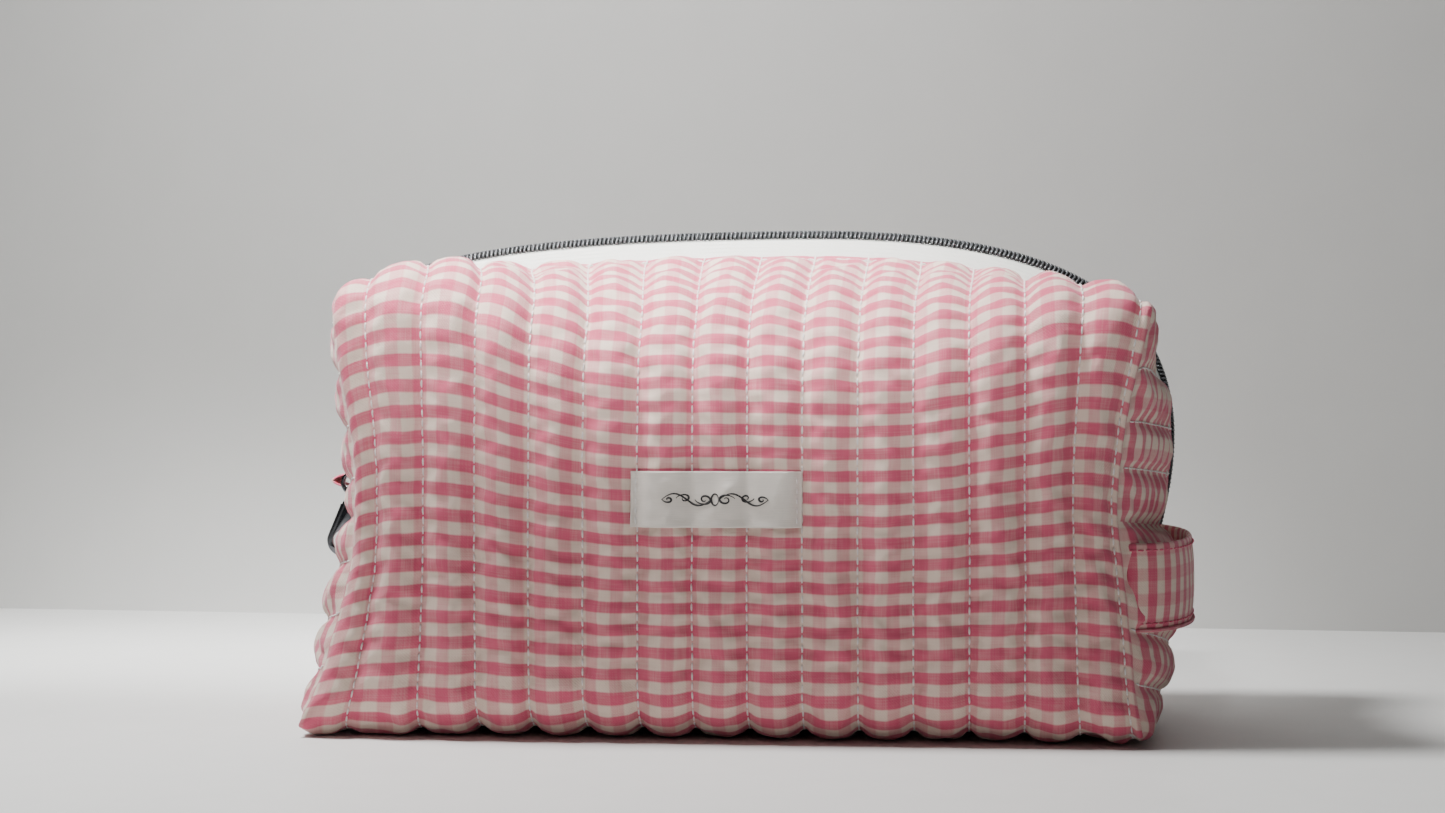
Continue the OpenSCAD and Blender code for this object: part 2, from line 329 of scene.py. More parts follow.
def plain_cloth_finish(name, base, yarn, roughness=0.85, sheen=0.2, rib=0.0):
    """Woven cloth of one colour, with its yarns, and ribs along the piece where they are wanted."""
    finish = Finish(name, base, roughness, Sheen_Weight=sheen, Sheen_Roughness=0.5)
    cloth, along, down = finish.cloth_place()
    yarns = finish.noise(finish.stretched(cloth, (300.0, 2200.0, 1.0)), 1.0, 2.0)
    patches = finish.noise(cloth, 160.0)
    amount = ((yarns - 0.5) * 0.5 + (patches - 0.5) * 0.5 + 0.5).between(0.0, 1.0)
    finish.feed("Base Color", finish.mix(amount, shade(base, 0.82), shade(base, 1.08)))
    height = weave(along, down, yarn)
    if rib:
        height = height + down.wave(rib) * 2.0
    finish.feed("Normal", finish.bump(height, yarn * 0.25, 0.8))
    finish.feed("Roughness", amount * 0.2 + (roughness - 0.1))
    return finish.material


def fibre_finish(name, base, scale, roughness=0.7):
    """Thread or wadding: fine fibres on Object coordinates."""
    finish = Finish(name, base, roughness, Sheen_Weight=0.3, Sheen_Roughness=0.4)
    fibres = finish.noise(finish.place(), scale, 4.0)
    finish.feed("Base Color", finish.mix(fibres.between(0.3, 0.7), shade(base, 0.8), base))
    finish.feed("Roughness", fibres * 0.2 + (roughness - 0.1))
    finish.feed("Normal", finish.bump(fibres, 0.0003, 0.5))
    return finish.material


def coil_finish():
    tint = colours()
    finish = Finish("zip_coil", tint.coil, 0.32, Metallic=0.55)
    specks = finish.noise(finish.place(), 900.0)
    dull, bright = shade(tint.coil, 0.7), shade(tint.coil, 1.5)
    finish.feed("Base Color", finish.mix(specks.between(0.3, 0.7), dull, bright))
    finish.feed("Roughness", specks * 0.2 + 0.22)
    return finish.material


def metal_finish():
    tint = colours()
    finish = Finish("dark_chrome", tint.metal, 0.18, Metallic=1.0)
    smudges = finish.noise(finish.place(), 260.0)
    scratches = finish.noise(finish.stretched(finish.place(), (400.0, 400.0, 3000.0)), 1.0)
    dull, bright = shade(tint.metal, 0.8), shade(tint.metal, 1.3)
    finish.feed("Base Color", finish.mix(smudges.between(0.3, 0.8), dull, bright))
    finish.feed("Roughness", smudges * 0.16 + scratches * 0.06 + 0.06)
    finish.feed("Normal", finish.bump(scratches, 0.00002, 0.3))
    return finish.material


def satin_finish():
    tint = colours()
    finish = Finish("label_satin", tint.satin, 0.42, Sheen_Weight=0.2, Specular_IOR_Level=0.5)
    cloth, _, _ = finish.cloth_place()
    floats = finish.noise(finish.stretched(cloth, (150.0, 3600.0, 1.0)), 1.0, 3.0)
    finish.feed("Base Color", finish.mix(floats, shade(tint.satin, 0.88), shade(tint.satin, 1.08)))
    finish.feed("Roughness", floats * 0.2 + 0.34)
    finish.feed("Normal", finish.bump(floats, 0.00012, 0.6))
    return finish.material


def surface_finish(name, base, roughness, grain, one_sided=False):
    """Painted board for the table and the wall; a one-sided board can be looked through from behind."""
    finish = Finish(name, base, roughness)
    paint = finish.noise(finish.place(), grain, 4.0)
    finish.feed("Base Color", finish.mix(paint, shade(base, 0.97), shade(base, 1.03)))
    finish.feed("Normal", finish.bump(paint, 0.0004, 0.25))
    if one_sided:
        finish.feed("Alpha", 1.0 - finish.node("ShaderNodeNewGeometry", output="Backfacing"))
    return finish.material


FINISHES = {}


def finish_named(name):
    """Makes a finish the first time that it is asked for."""
    tint, size = colours(), sizes()
    makers = {
        "gingham": gingham_finish,
        "zip_tape": lambda: plain_cloth_finish("zip_tape", tint.tape, 0.0005, rib=0.0022),
        "lining": lambda: plain_cloth_finish("lining", tint.lining, size.yarn),
        "thread": lambda: fibre_finish("thread", tint.thread, 2500.0),
        "pink_thread": lambda: fibre_finish("pink_thread", shade(tint.pink, 1.15), 2500.0),
        "wadding": lambda: fibre_finish("wadding", tint.wadding, 500.0, 0.95),
        "zip_coil": coil_finish,
        "dark_chrome": metal_finish,
        "label_satin": satin_finish,
        "ink": lambda: fibre_finish("ink", tint.ink, 2500.0, 0.6),
    }
    if name not in FINISHES:
        FINISHES[name] = makers[name]()
    return FINISHES[name]


# ---- mesh help ----
def deselect():
    if bpy.context.object and bpy.context.object.mode != "OBJECT":
        bpy.ops.object.mode_set(mode="OBJECT")
    bpy.ops.object.select_all(action="DESELECT")


def select(piece):
    deselect()
    piece.select_set(True)
    bpy.context.view_layer.objects.active = piece
    return piece


def apply_place(piece):
    """Puts the piece's place, turn and scale into its mesh."""
    select(piece)
    bpy.ops.object.transform_apply(location=True, rotation=True, scale=True)
    return piece


def add_modifier(piece, kind, **settings):
    """Adds a modifier and applies it."""
    select(piece)
    modifier = piece.modifiers.new(kind, kind)
    for name, value in settings.items():
        setattr(modifier, name, value)
    bpy.ops.object.modifier_apply(modifier=modifier.name)
    return piece


def subdivide(piece, levels=1):
    return add_modifier(piece, "SUBSURF", levels=levels, render_levels=levels)


def new_piece(name, corners, faces, uvs=None):
    """A mesh piece from corners, faces and, where given, each face corner's place on the cloth."""
    mesh = bpy.data.meshes.new(name)
    mesh.from_pydata([tuple(c) for c in corners], [], [tuple(int(i) for i in f) for f in faces])
    if uvs is not None:
        layer = mesh.uv_layers.new(name="cloth")
        layer.data.foreach_set("uv", np.asarray(uvs, np.float32).ravel())
    mesh.validate()
    piece = bpy.data.objects.new(name, mesh)
    bpy.context.scene.collection.objects.link(piece)
    mesh.shade_smooth()
    return piece


def face_outwards(piece):
    select(piece)
    bpy.ops.object.mode_set(mode="EDIT")
    bpy.ops.mesh.select_all(action="SELECT")
    bpy.ops.mesh.remove_doubles(threshold=1e-6)
    bpy.ops.mesh.normals_make_consistent(inside=False)
    bpy.ops.object.mode_set(mode="OBJECT")
    return piece


def join(pieces, name):
    deselect()
    for piece in pieces:
        piece.select_set(True)
    bpy.context.view_layer.objects.active = pieces[0]
    if len(pieces) > 1:
        bpy.ops.object.join()
    pieces[0].name = name
    pieces[0].data.name = name
    return pieces[0]


def places(piece):
    """The piece's vertices as an array."""
    found = np.empty(len(piece.data.vertices) * 3, np.float32)
    piece.data.vertices.foreach_get("co", found)
    return found.reshape(-1, 3).astype(float)


def move_to(piece, found):
    piece.data.vertices.foreach_set("co", np.asarray(found, np.float32).ravel())
    piece.data.update()


def normals(piece):
    found = np.empty(len(piece.data.vertices) * 3, np.float32)
    piece.data.vertex_normals.foreach_get("vector", found)
    return found.reshape(-1, 3).astype(float)


def dress(piece, finish, slot, body=None, stands_for=()):
    """Gives a piece its finish, the body that it rides on and the nodes it stands for; slot is not used."""
    piece.data.materials.clear()
    piece.data.materials.append(finish_named(finish))
    if stands_for:
        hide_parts(*stands_for)
    if body:
        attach(piece, body)
    return piece


def bend_at_mouth(piece):
    """Puts the piece's place, turn and scale in the scene into its mesh."""
    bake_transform(piece)
    return piece


def smooth_curve(points, at):
    """Values of a smooth curve through the points, at the places asked for."""
    x, y = np.array(points, float).T
    slope = np.gradient(y, x)
    at = np.asarray(at, float)
    k = np.clip(np.searchsorted(x, at) - 1, 0, len(x) - 2)
    width = x[k + 1] - x[k]
    t = np.clip((at - x[k]) / width, 0, 1)
    return (
        (1 + 2 * t) * (1 - t) ** 2 * y[k]
        + t * (1 - t) ** 2 * width * slope[k]
        + t * t * (3 - 2 * t) * y[k + 1]
        + t * t * (t - 1) * width * slope[k + 1]
    )


def bezier(points, steps):
    t = np.linspace(0, 1, steps)[:, None]
    a, b, c, d = (np.array(p, float) for p in points)
    return (1 - t) ** 3 * a + 3 * (1 - t) ** 2 * t * b + 3 * (1 - t) * t * t * c + t**3 * d


def ease(t):
    t = np.clip(t, 0, 1)
    return t * t * (3 - 2 * t)


def along_line(line, count):
    """Points at equal distances along a line of points, and the line's length."""
    line = np.asarray(line, float)
    gaps = np.linalg.norm(np.diff(line, axis=0), axis=1)
    far = np.concatenate([[0], np.cumsum(gaps)])
    at = np.linspace(0, far[-1], count)
    return np.stack([np.interp(at, far, line[:, i]) for i in range(line.shape[1])], 1), far[-1]


# ---- the zip's way over the pouch ----
class ZipWay:
    """The middle line of the zip, up the left end, over the top and down the right end."""

    def __init__(self):
        peak = 0.018
        left = bezier([(-END, 0.130), (-END, 0.149), (-0.088, RIDGE), (peak, RIDGE)], 80)
        right = bezier([(peak, RIDGE), (0.088, RIDGE), (0.1354, 0.143), (0.1350, 0.092)], 80)
        foot = bezier([(0.1350, 0.092), (0.1348, 0.080), (0.1328, 0.072), (END, ZIP_END)], 20)
        self.line = np.vstack([[(-END, ZIP_END)], left, right[1:], foot[1:]])
        gaps = np.linalg.norm(np.diff(self.line, axis=0), axis=1)
        self.far = np.concatenate([[0], np.cumsum(gaps)])
        self.far -= np.interp(0.0, self.line[:, 0], self.far)
        self.start, self.finish = self.far[0], self.far[-1]
        self.left_fold = self.where_height(-1, 0.131)
        self.right_fold = self.where_height(1, 0.130)

    def where_height(self, side, height):
        """Distance along the way at which one side of it is at a height."""
        chosen = self.far * side > 0
        order = np.argsort(self.line[chosen, 1])
        return np.interp(height, self.line[chosen, 1][order], self.far[chosen][order])

    def at(self, s):
        """Points and outward directions, in X and Z, at distances along the way."""
        s = np.asarray(s, float)
        point = np.stack([np.interp(s, self.far, self.line[:, i]) for i in (0, 1)], -1)
        step = 0.003
        ahead = np.stack([np.interp(s + step, self.far, self.line[:, i]) for i in (0, 1)], -1)
        behind = np.stack([np.interp(s - step, self.far, self.line[:, i]) for i in (0, 1)], -1)
        way = ahead - behind
        way /= np.linalg.norm(way, axis=-1, keepdims=True)
        return point, np.stack([-way[..., 1], way[..., 0]], -1)

    def tape(self, s):
        """Visible width of the tape."""
        size = sizes()
        _, out = self.at(s)
        return size.tape_end + (size.tape_top - size.tape_end) * ease(out[..., 1] * 1.3)

    def across(self, s, q, side, lift=0.0):
        """Points at a distance q from the middle, on the front (side -1) or back (side 1) tape."""
        point, out = self.at(s)
        slope = np.radians(2 + 36 * ease(out[..., 1] * 1.2))
        q = np.asarray(q, float)
        down = q * np.sin(slope) - lift
        return np.stack(
            [
                point[..., 0] - out[..., 0] * down,
                side * q * np.cos(slope) + 0 * point[..., 0],
                point[..., 1] - out[..., 1] * down,
            ],
            -1,
        )


WAY = ZipWay()


# ---- the walls' shape before they are padded ----
RIGHT_SEAM = [
    (0.0, 0.1235), (0.010, 0.1208), (0.030, 0.1185), (0.050, 0.1165), (0.070, 0.1145),
    (0.085, 0.1155), (0.110, 0.1200), (0.120, 0.1228), (0.135, 0.1262),
]
LEFT_SEAM = [
    (0.0, -0.1395), (0.012, -0.1325), (0.030, -0.1265), (0.055, -0.1205), (0.075, -0.1196),
    (0.090, -0.1206), (0.100, -0.1222), (0.110, -0.1240), (0.120, -0.1256), (0.130, -0.1266),
    (0.137, -0.1262),
]
# height of the shoulders' sharp corner and the radius of their rounding, along the pouch
SHOULDER_HEIGHT = [
    (-0.1235, 0.1360), (-0.118, 0.1430), (-0.110, 0.1480), (-0.100, 0.1500), (-0.085, 0.1470),
    (-0.065, 0.1380), (-0.045, 0.1310), (0.0, 0.1285), (0.060, 0.1295), (0.085, 0.1360),
    (0.100, 0.1410), (0.112, 0.1405), (0.118, 0.1385), (0.1235, 0.1350),
]
SHOULDER_RADIUS = [
    (-0.1235, 0.005), (-0.118, 0.010), (-0.110, 0.015), (-0.100, 0.021), (-0.085, 0.029),
    (-0.065, 0.038), (-0.045, 0.044), (0.0, 0.046), (0.060, 0.046), (0.085, 0.034),
    (0.100, 0.022), (0.112, 0.014), (0.118, 0.009), (0.1235, 0.005),
]


def seam_place(u, z):
    """X of the seam between the front and an end, on the side that u is on."""
    return smooth_curve(RIGHT_SEAM if u > 0 else LEFT_SEAM, z)


def corner_round(before, corner, after, radius, steps=24):
    """Points of the arc that rounds a corner between two straight lines."""
    to_before = (before - corner) / np.linalg.norm(before - corner)
    to_after = (after - corner) / np.linalg.norm(after - corner)
    half = math.acos(np.clip(to_before @ to_after, -1, 1)) / 2
    reach = min(radius / math.tan(half), 0.48 * np.linalg.norm(before - corner),
                0.48 * np.linalg.norm(after - corner))
    radius = reach * math.tan(half)
    middle = corner + (to_before + to_after) / np.linalg.norm(to_before + to_after) * (
        radius / math.sin(half)
    )
    first = corner + to_before * reach - middle
    last = corner + to_after * reach - middle
    turn = math.atan2(first[0] * last[1] - first[1] * last[0], first @ last)
    angles = np.linspace(0, turn, steps)
    return np.stack(
        [
            middle[0] + first[0] * np.cos(angles) - first[1] * np.sin(angles),
            middle[1] + first[0] * np.sin(angles) + first[1] * np.cos(angles),
        ],
        1,
    )


def wall_column(u, parts):
    """One line of cloth from the zip tape down the front and under the base, at y below 0."""
    side_fold = WAY.right_fold if u > 0 else -WAY.left_fold
    s = u * side_fold / FOLD
    top = WAY.across(s, WAY.tape(s), -1)
    end = np.clip(1 - (FOLD - abs(u)) / 0.060, 0, 1) ** 2.5

    def mix(middle, at_end):
        return middle + (at_end - middle) * end

    shoulder = np.array([mix(-0.0605, -0.0580), smooth_curve(SHOULDER_HEIGHT, u)])
    foot = np.array([mix(-0.0610, -0.0615), mix(0.0032, 0.0008)])
    inner = np.array([0.0, mix(0.0032, 0.0025)])
    start = top[1:]
    upper = corner_round(start, shoulder, foot, smooth_curve(SHOULDER_RADIUS, u))
    lower = corner_round(shoulder, foot, inner, mix(0.014, 0.005))
    k, m = len(upper) // 2, len(lower) // 2
    roof, _ = along_line(np.vstack([start, upper[: k + 1]]), parts.roof + 1)
    face, _ = along_line(np.vstack([upper[k:], lower[: m + 1]]), parts.front + 1)
    base, _ = along_line(np.vstack([lower[m:], inner]), parts.base + 1)
    face[:, 0] -= 0.0015 * np.sin(np.linspace(0, math.pi, len(face))) * (1 - end)
    face[:, 0] += 0.0040 * np.sin(np.linspace(0, math.pi, len(face))) * end
    line = np.vstack([roof, face[1:], base[1:]])
    pull = np.clip((abs(u) - 0.080) / (FOLD - 0.080), 0, 1) ** 2
    x = u + pull * (seam_place(u, line[:, 1]) - math.copysign(FOLD, u))
    roof_part = ease(np.linspace(0, 1, parts.roof + 1))
    x[: parts.roof + 1] = top[0] + (x[parts.roof] - top[0]) * roof_part
    base_x = u * (0.1240 / FOLD)
    base_part = np.linspace(0, 1, parts.base + 1)
    x[-parts.base - 1 :] += (base_x - x[-parts.base - 1]) * ease(base_part)
    return np.column_stack([x, line])


def coons(top, bottom, inner, outer):
    """A patch between four lines; a runs from inner to outer and b from top to bottom."""
    a = np.linspace(0, 1, len(top))[None, :, None]
    b = np.linspace(0, 1, len(inner))[:, None, None]
    straight = (
        (1 - a) * (1 - b) * top[0] + a * (1 - b) * top[-1]
        + (1 - a) * b * bottom[0] + a * b * bottom[-1]
    )
    return (1 - b) * top[None] + b * bottom[None] + (1 - a) * inner[:, None] + a * outer[:, None] - straight


def bulged(line, amount):
    """A line pushed out along X, most in its middle."""
    t = np.linspace(0, 1, len(line))
    line = line.copy()
    line[:, 0] += amount * np.sin(math.pi * t)
    return line


def end_patches(column, side, parts):
    """The two padded pieces of half an end: above and below the end's seam."""
    roof = column[: parts.roof + 1]
    seam = column[parts.roof : parts.roof + parts.front + 1]
    base = column[parts.roof + parts.front :][::-1]
    fold, finish = (WAY.right_fold, WAY.finish) if side > 0 else (WAY.left_fold, WAY.start)
    s = np.linspace(fold, finish, parts.half + 1)
    inner = WAY.across(s, WAY.tape(s), -1)
    inner[0] = roof[0]
    waist = seam[parts.half]
    t = np.linspace(0, 1, parts.roof + 1)[:, None]
    bottom = bulged(inner[-1] + (waist - inner[-1]) * t, side * 0.0008)
    upper = coons(roof, bottom, inner, seam[: parts.half + 1])
    tuck_start = np.array([side * (END + 0.0005), 0.0, ZIP_END])
    tuck = tuck_start + (bottom[0] - tuck_start) * np.linspace(0, 1, parts.tuck + 1)[:, None]
    top = np.vstack([tuck, bottom[1:]])
    middle = bezier(
        [tuck_start[[0, 2]], (side * (END + 0.004), 0.040), (side * (END + 0.001), 0.002), base[0][[0, 2]]],
        parts.half + 1,
    )
    middle = np.column_stack([middle[:, 0], np.zeros(len(middle)), middle[:, 1]])
    lower_outer = seam[parts.half :]
    count = len(top)
    base_line, _ = along_line(base, count)
    if count == len(base):
        base_line = base
    lower = coons(top, base_line, middle, lower_outer)
    for patch, amount in ((upper, 0.0005), (lower, 0.0035)):
        b = np.linspace(0, 1, patch.shape[0])[:, None]
        a = np.linspace(0, 1, patch.shape[1])[None, :]
        patch[..., 0] += side * amount * np.sin(math.pi * a) * np.sin(math.pi * b) ** 0.8
        patch[..., 1] -= amount * 0.5 * np.sin(math.pi * a) * np.sin(math.pi * b) ** 0.8
    return upper, lower


END_LINES = {  # quilting lines on the ends, as shares of the distance down each patch
    (1, "upper"): (0.32, 0.56, 0.77),
    (-1, "upper"): (0.10, 0.35, 0.59, 0.83),
    (1, "lower"): (0.25, 0.49, 0.73),
    (-1, "lower"): (0.21, 0.45, 0.69, 0.93),
}


def channel_shape(t):
    """Height of the padding across a channel, 0 at its lines and 1 in its middle."""
    return np.clip(1 - (2 * np.asarray(t, float) - 1) ** 2, 0, 1) ** 0.65


def steps_between(marks, count):
    """For each of count places, how far it is between the two marks around it."""
    t = np.zeros(count)
    for low, high in zip(marks[:-1], marks[1:]):
        for i in range(max(low, 0), min(high, count - 1) + 1):
            t[i] = (i - low) / (high - low)
    return t


class Walls:
    """The whole quilted cloth: where it lies, its place on the flat cloth and how it is sewn."""

    def __init__(self, parts):
        self.parts = parts
        pitch = sizes().channel_pitch
        self.lines = FIRST_LINE + pitch * np.arange(LINES)
        steps = [np.linspace(-FOLD, self.lines[0], parts.left + 1)[:-1]]
        for low, high in zip(self.lines[:-1], self.lines[1:]):
            steps.append(np.linspace(low, high, parts.channel + 1)[:-1])
        steps.append(np.linspace(self.lines[-1], FOLD, parts.right + 1))
        self.u = np.concatenate(steps)
        self.line_columns = parts.left + parts.channel * np.arange(LINES)
        self.sheets = []
        self.make_half()

    def add(self, where, cloth, puff, sewn, seam, flip):
        """Keeps a sheet: its places, its places on the flat cloth, and how it is padded and sewn."""
        self.sheets.append((where, cloth, puff, sewn, seam, flip))

    def hem(self, steps):
        """Share of the padding near the zip: a thin flat lip, then the channels' rounded heads."""
        past = np.clip((steps - self.parts.lip) / (0.18 * self.parts.roof), 0, 1)
        heads = np.sqrt(1 - (1 - past) ** 2)
        return np.where(steps <= self.parts.lip, 0.22 * np.sin(math.pi * steps / self.parts.lip), heads)

    def make_half(self):
        """The front, the roof and the base in one sheet, then the padded pieces of both ends."""
        parts = self.parts
        columns = np.stack([wall_column(u, parts) for u in self.u])
        middle = columns[np.argmin(abs(self.u))]
        gaps = np.linalg.norm(np.diff(middle, axis=0), axis=1)
        v = np.concatenate([[0], np.cumsum(gaps)])
        cloth = np.stack(np.broadcast_arrays(self.u[:, None], v[None]), -1)
        across = steps_between(list(self.line_columns), len(self.u))
        shape = channel_shape(across)
        left = np.arange(parts.left + 1)
        right = np.arange(parts.right + 1)
        rows = np.arange(parts.rows + 1)
        puff = np.repeat(shape[:, None], parts.rows + 1, 1)
        first_down = {}
        for side in (-1, 1):
            for name in ("upper", "lower"):
                first_down[side, name] = [
                    round(share * parts.half) for share in END_LINES[side, name]
                ]
        for side, margin in ((-1, parts.left), (1, parts.right)):
            index = left if side < 0 else len(self.u) - 1 - right
            steps = (margin - left) if side < 0 else (margin - right)
            seam_shape = 0.8 * channel_shape(np.asarray(left if side < 0 else right) / margin)
            top_span = margin + first_down[side, "upper"][0]
            low_span = margin + parts.half - first_down[side, "lower"][-1]
            for j in rows:
                if j <= parts.roof:
                    puff[index, j] = channel_shape(steps / top_span)
                elif j >= parts.roof + parts.front:
                    puff[index, j] = channel_shape(steps / low_span)
                else:
                    puff[index, j] = seam_shape
        puff *= self.hem(rows)[None]
        sewn = np.zeros_like(puff, bool)
        sewn[self.line_columns] = True
        sewn[:, [0, parts.lip]] = True
        seam = np.zeros_like(sewn)
        seam[[0, -1], parts.roof : parts.roof + parts.front + 1] = True
        sewn |= seam
        self.add(columns, cloth, puff, sewn, seam, True)
        for side, column in ((-1, 0), (1, len(self.u) - 1)):
            upper, lower = end_patches(columns[column], side, parts)
            for name, patch in (("upper", upper), ("lower", lower)):
                self.add_patch(name, patch, side, v, first_down[side, name])

    def add_patch(self, name, patch, side, v, lines):
        """Adds one padded piece of an end, with the quilting lines that run across it."""
        parts = self.parts
        rows, cols = patch.shape[:2]
        margin = parts.left if side < 0 else parts.right
        if name == "upper":
            marks = [-margin] + lines + [rows - 1]
            down = np.linspace(0, END_DROP_UPPER, rows)
            across = v[: parts.roof + 1]
        else:
            marks = [0] + lines + [rows - 1 + margin]
            down = np.linspace(END_DROP_LOWER, 0, rows)
            across = v[parts.roof + parts.front :][::-1]
        puff = np.repeat(channel_shape(steps_between(marks, rows))[:, None], cols, 1)
        a = np.linspace(0, 1, cols)
        puff *= ease((1 - a) / 0.12)[None]
        if name == "upper":
            puff *= 0.7 * self.hem(np.arange(cols))[None]
        cloth = np.stack(np.broadcast_arrays((side * (FOLD + down))[:, None], across[None]), -1)
        sewn = np.zeros((rows, cols), bool)
        seam = np.zeros_like(sewn)
        seam[:, -1] = True
        seam[-1 if name == "upper" else 0] = True
        sewn[lines] = True
        sewn |= seam
        if name == "upper":
            sewn[:, [0, parts.lip]] = True
        self.add(patch, cloth, puff, sewn, seam, side > 0)

    def both_halves(self):
        """Joins the sheets of the front half and their mirror images into one mesh."""
        corners, puffs, sewns, seams, faces, uvs, self.places_of = [], [], [], [], [], [], []
        start = 0
        for half in (-1, 1):
            for where, cloth, puff, sewn, seam, flip in self.sheets:
                n, m = where.shape[:2]
                corners.append((where * (1, -half, 1)).reshape(-1, 3))
                puffs.append(puff.ravel())
                sewns.append(sewn.ravel())
                seams.append(seam.ravel())
                index = start + np.arange(n * m).reshape(n, m)
                self.places_of.append((half, index, cloth))
                quads = np.stack([index[:-1, :-1], index[1:, :-1], index[1:, 1:], index[:-1, 1:]], -1)
                flat = np.stack([cloth[:-1, :-1], cloth[1:, :-1], cloth[1:, 1:], cloth[:-1, 1:]], -2)
                if flip != (half > 0):
                    quads, flat = quads[..., ::-1], flat[..., ::-1, :]
                faces.append(quads.reshape(-1, 4))
                uvs.append(flat.reshape(-1, 4, 2))
                start += n * m
        corners = np.vstack(corners)
        keys = np.round(corners / 2e-6).astype(np.int64)
        _, first, back = np.unique(keys, axis=0, return_index=True, return_inverse=True)
        back = back.ravel()
        puff = np.full(len(first), np.inf)
        np.minimum.at(puff, back, np.concatenate(puffs))
        sewn = np.zeros(len(first), bool)
        np.logical_or.at(sewn, back, np.concatenate(sewns))
        self.seam = np.zeros(len(first), bool)
        np.logical_or.at(self.seam, back, np.concatenate(seams))
        self.places_of = [(half, back[index], cloth) for half, index, cloth in self.places_of]
        self.flat = np.zeros((len(first), 2))
        for _, index, cloth in self.places_of:
            self.flat[index] = cloth
        return corners[first], back[np.vstack(faces)], np.vstack(uvs), puff, sewn


def smooth_folds(piece, seam, rounds):
    """Rounds the folds where the roof and the base turn down and up the ends."""
    mesh = bmesh.new()
    mesh.from_mesh(piece.data)
    mesh.verts.ensure_lookup_table()
    near = [
        v for v in mesh.verts
        if abs(v.co.x) > 0.105 and not (v.is_boundary or seam[v.index])
        and (v.co.z > 0.116 or v.co.z < 0.012)
    ]
    axes = {"use_axis_x": True, "use_axis_y": True, "use_axis_z": True}
    for _ in range(rounds):
        bmesh.ops.smooth_vert(mesh, verts=near, factor=0.5, **axes)
    mesh.to_mesh(piece.data)
    mesh.free()


def unevenness(found, seed, size):
    """A slow wander over space, from about -1 to 1, the same on every run."""
    source = np.random.default_rng(seed)
    total = np.zeros(len(found))
    for _ in range(6):
        direction = source.normal(size=3)
        direction /= np.linalg.norm(direction)
        turns = 2 * math.pi / (size * source.uniform(0.6, 1.5))
        total += np.sin(found @ direction * turns + source.uniform(0, 6.3))
    return total / 3.0


def quilt():
    """The padded cloth of the whole pouch: lifted between its lines, then blown up as cloth."""
    size = sizes()
    walls = Walls(FINE)
    corners, faces, uvs, puff, sewn = walls.both_halves()
    piece = new_piece("quilt", corners, faces, uvs)
    smooth_folds(piece, walls.seam, 24)
    found, out = places(piece), normals(piece)
    wander = 1 + 0.16 * unevenness(found, 3, 0.05)
    found += out * (puff * size.puff * wander)[:, None]
    found += out * (np.where(sewn, -SEWN_DEPTH, 0.0))[:, None]
    loose = ~sewn
    line_number = np.round(walls.flat[:, 0] / (size.channel_pitch / 2))
    drift = 2.4 * line_number + 1.5 * unevenness(found, 11, 0.03)
    pull = np.sin(walls.flat[:, 1] * (2 * math.pi / PUCKER_SPACING) + drift)
    found += out * (pull * puff * (1 - puff) * size.pucker * 4)[:, None]
    for seed, reach, height in ((5, 0.012, 0.00022), (8, 0.006, 0.00012)):
        found += out * (unevenness(found, seed, reach) * height * loose)[:, None]
    found[:, 2] = np.maximum(found[:, 2], 0.0003)
    move_to(piece, found)
    blow_up(piece, sewn)
    found = places(piece)
    found[:, 2] = np.maximum(found[:, 2], LEAST_HEIGHT)
    move_to(piece, found)
    subdivide(piece)
    return piece, walls


def blow_up(piece, sewn):
    """Cloth that is a little too large for its place, pushed out by the wadding."""
    size = sizes()
    before = places(piece)
    select(piece)
    held = piece.vertex_groups.new(name="held")
    held.add([int(i) for i in np.nonzero(sewn)[0]], 1.0, "REPLACE")
    modifier = piece.modifiers.new("Cloth", "CLOTH")
    cloth = modifier.settings
    for name, value in {
        "quality": 5, "mass": 0.15, "tension_stiffness": 20, "compression_stiffness": 20,
        "shear_stiffness": 6, "bending_stiffness": 0.02, "air_damping": 4,
        "vertex_group_mass": "held", "pin_stiffness": 1.0, "shrink_min": -size.cloth_growth,
        "use_pressure": True, "uniform_pressure_force": size.pressure,
    }.items():
        setattr(cloth, name, value)
    cloth.effector_weights.gravity = 0
    modifier.collision_settings.use_self_collision = False
    scene = bpy.context.scene
    modifier.point_cache.frame_start = 1
    modifier.point_cache.frame_end = SETTLE_FRAMES
    for frame_number in range(1, SETTLE_FRAMES + 1):
        scene.frame_set(frame_number)
    bpy.ops.object.modifier_apply(modifier=modifier.name)
    scene.frame_set(1)
    after = places(piece)
    move = after - before
    far = np.linalg.norm(move, axis=1)
    scale = np.minimum(1.0, size.most_move / np.maximum(far, 1e-9))
    move_to(piece, before + move * scale[:, None])
    piece.vertex_groups.clear()


def split_halves(piece, names):
    """Cuts a piece in two along the middle, front first."""
    select(piece)
    bpy.ops.object.duplicate()
    copy = bpy.context.object
    result = []
    for half, side, name in ((piece, -1, names[0]), (copy, 1, names[1])):
        mesh = bmesh.new()
        mesh.from_mesh(half.data)
        wrong = [f for f in mesh.faces if f.calc_center_median().y * side < 0]
        bmesh.ops.delete(mesh, geom=wrong, context="FACES")
        mesh.to_mesh(half.data)
        mesh.free()
        half.name = name
        half.data.name = name
        result.append(half)
    return result


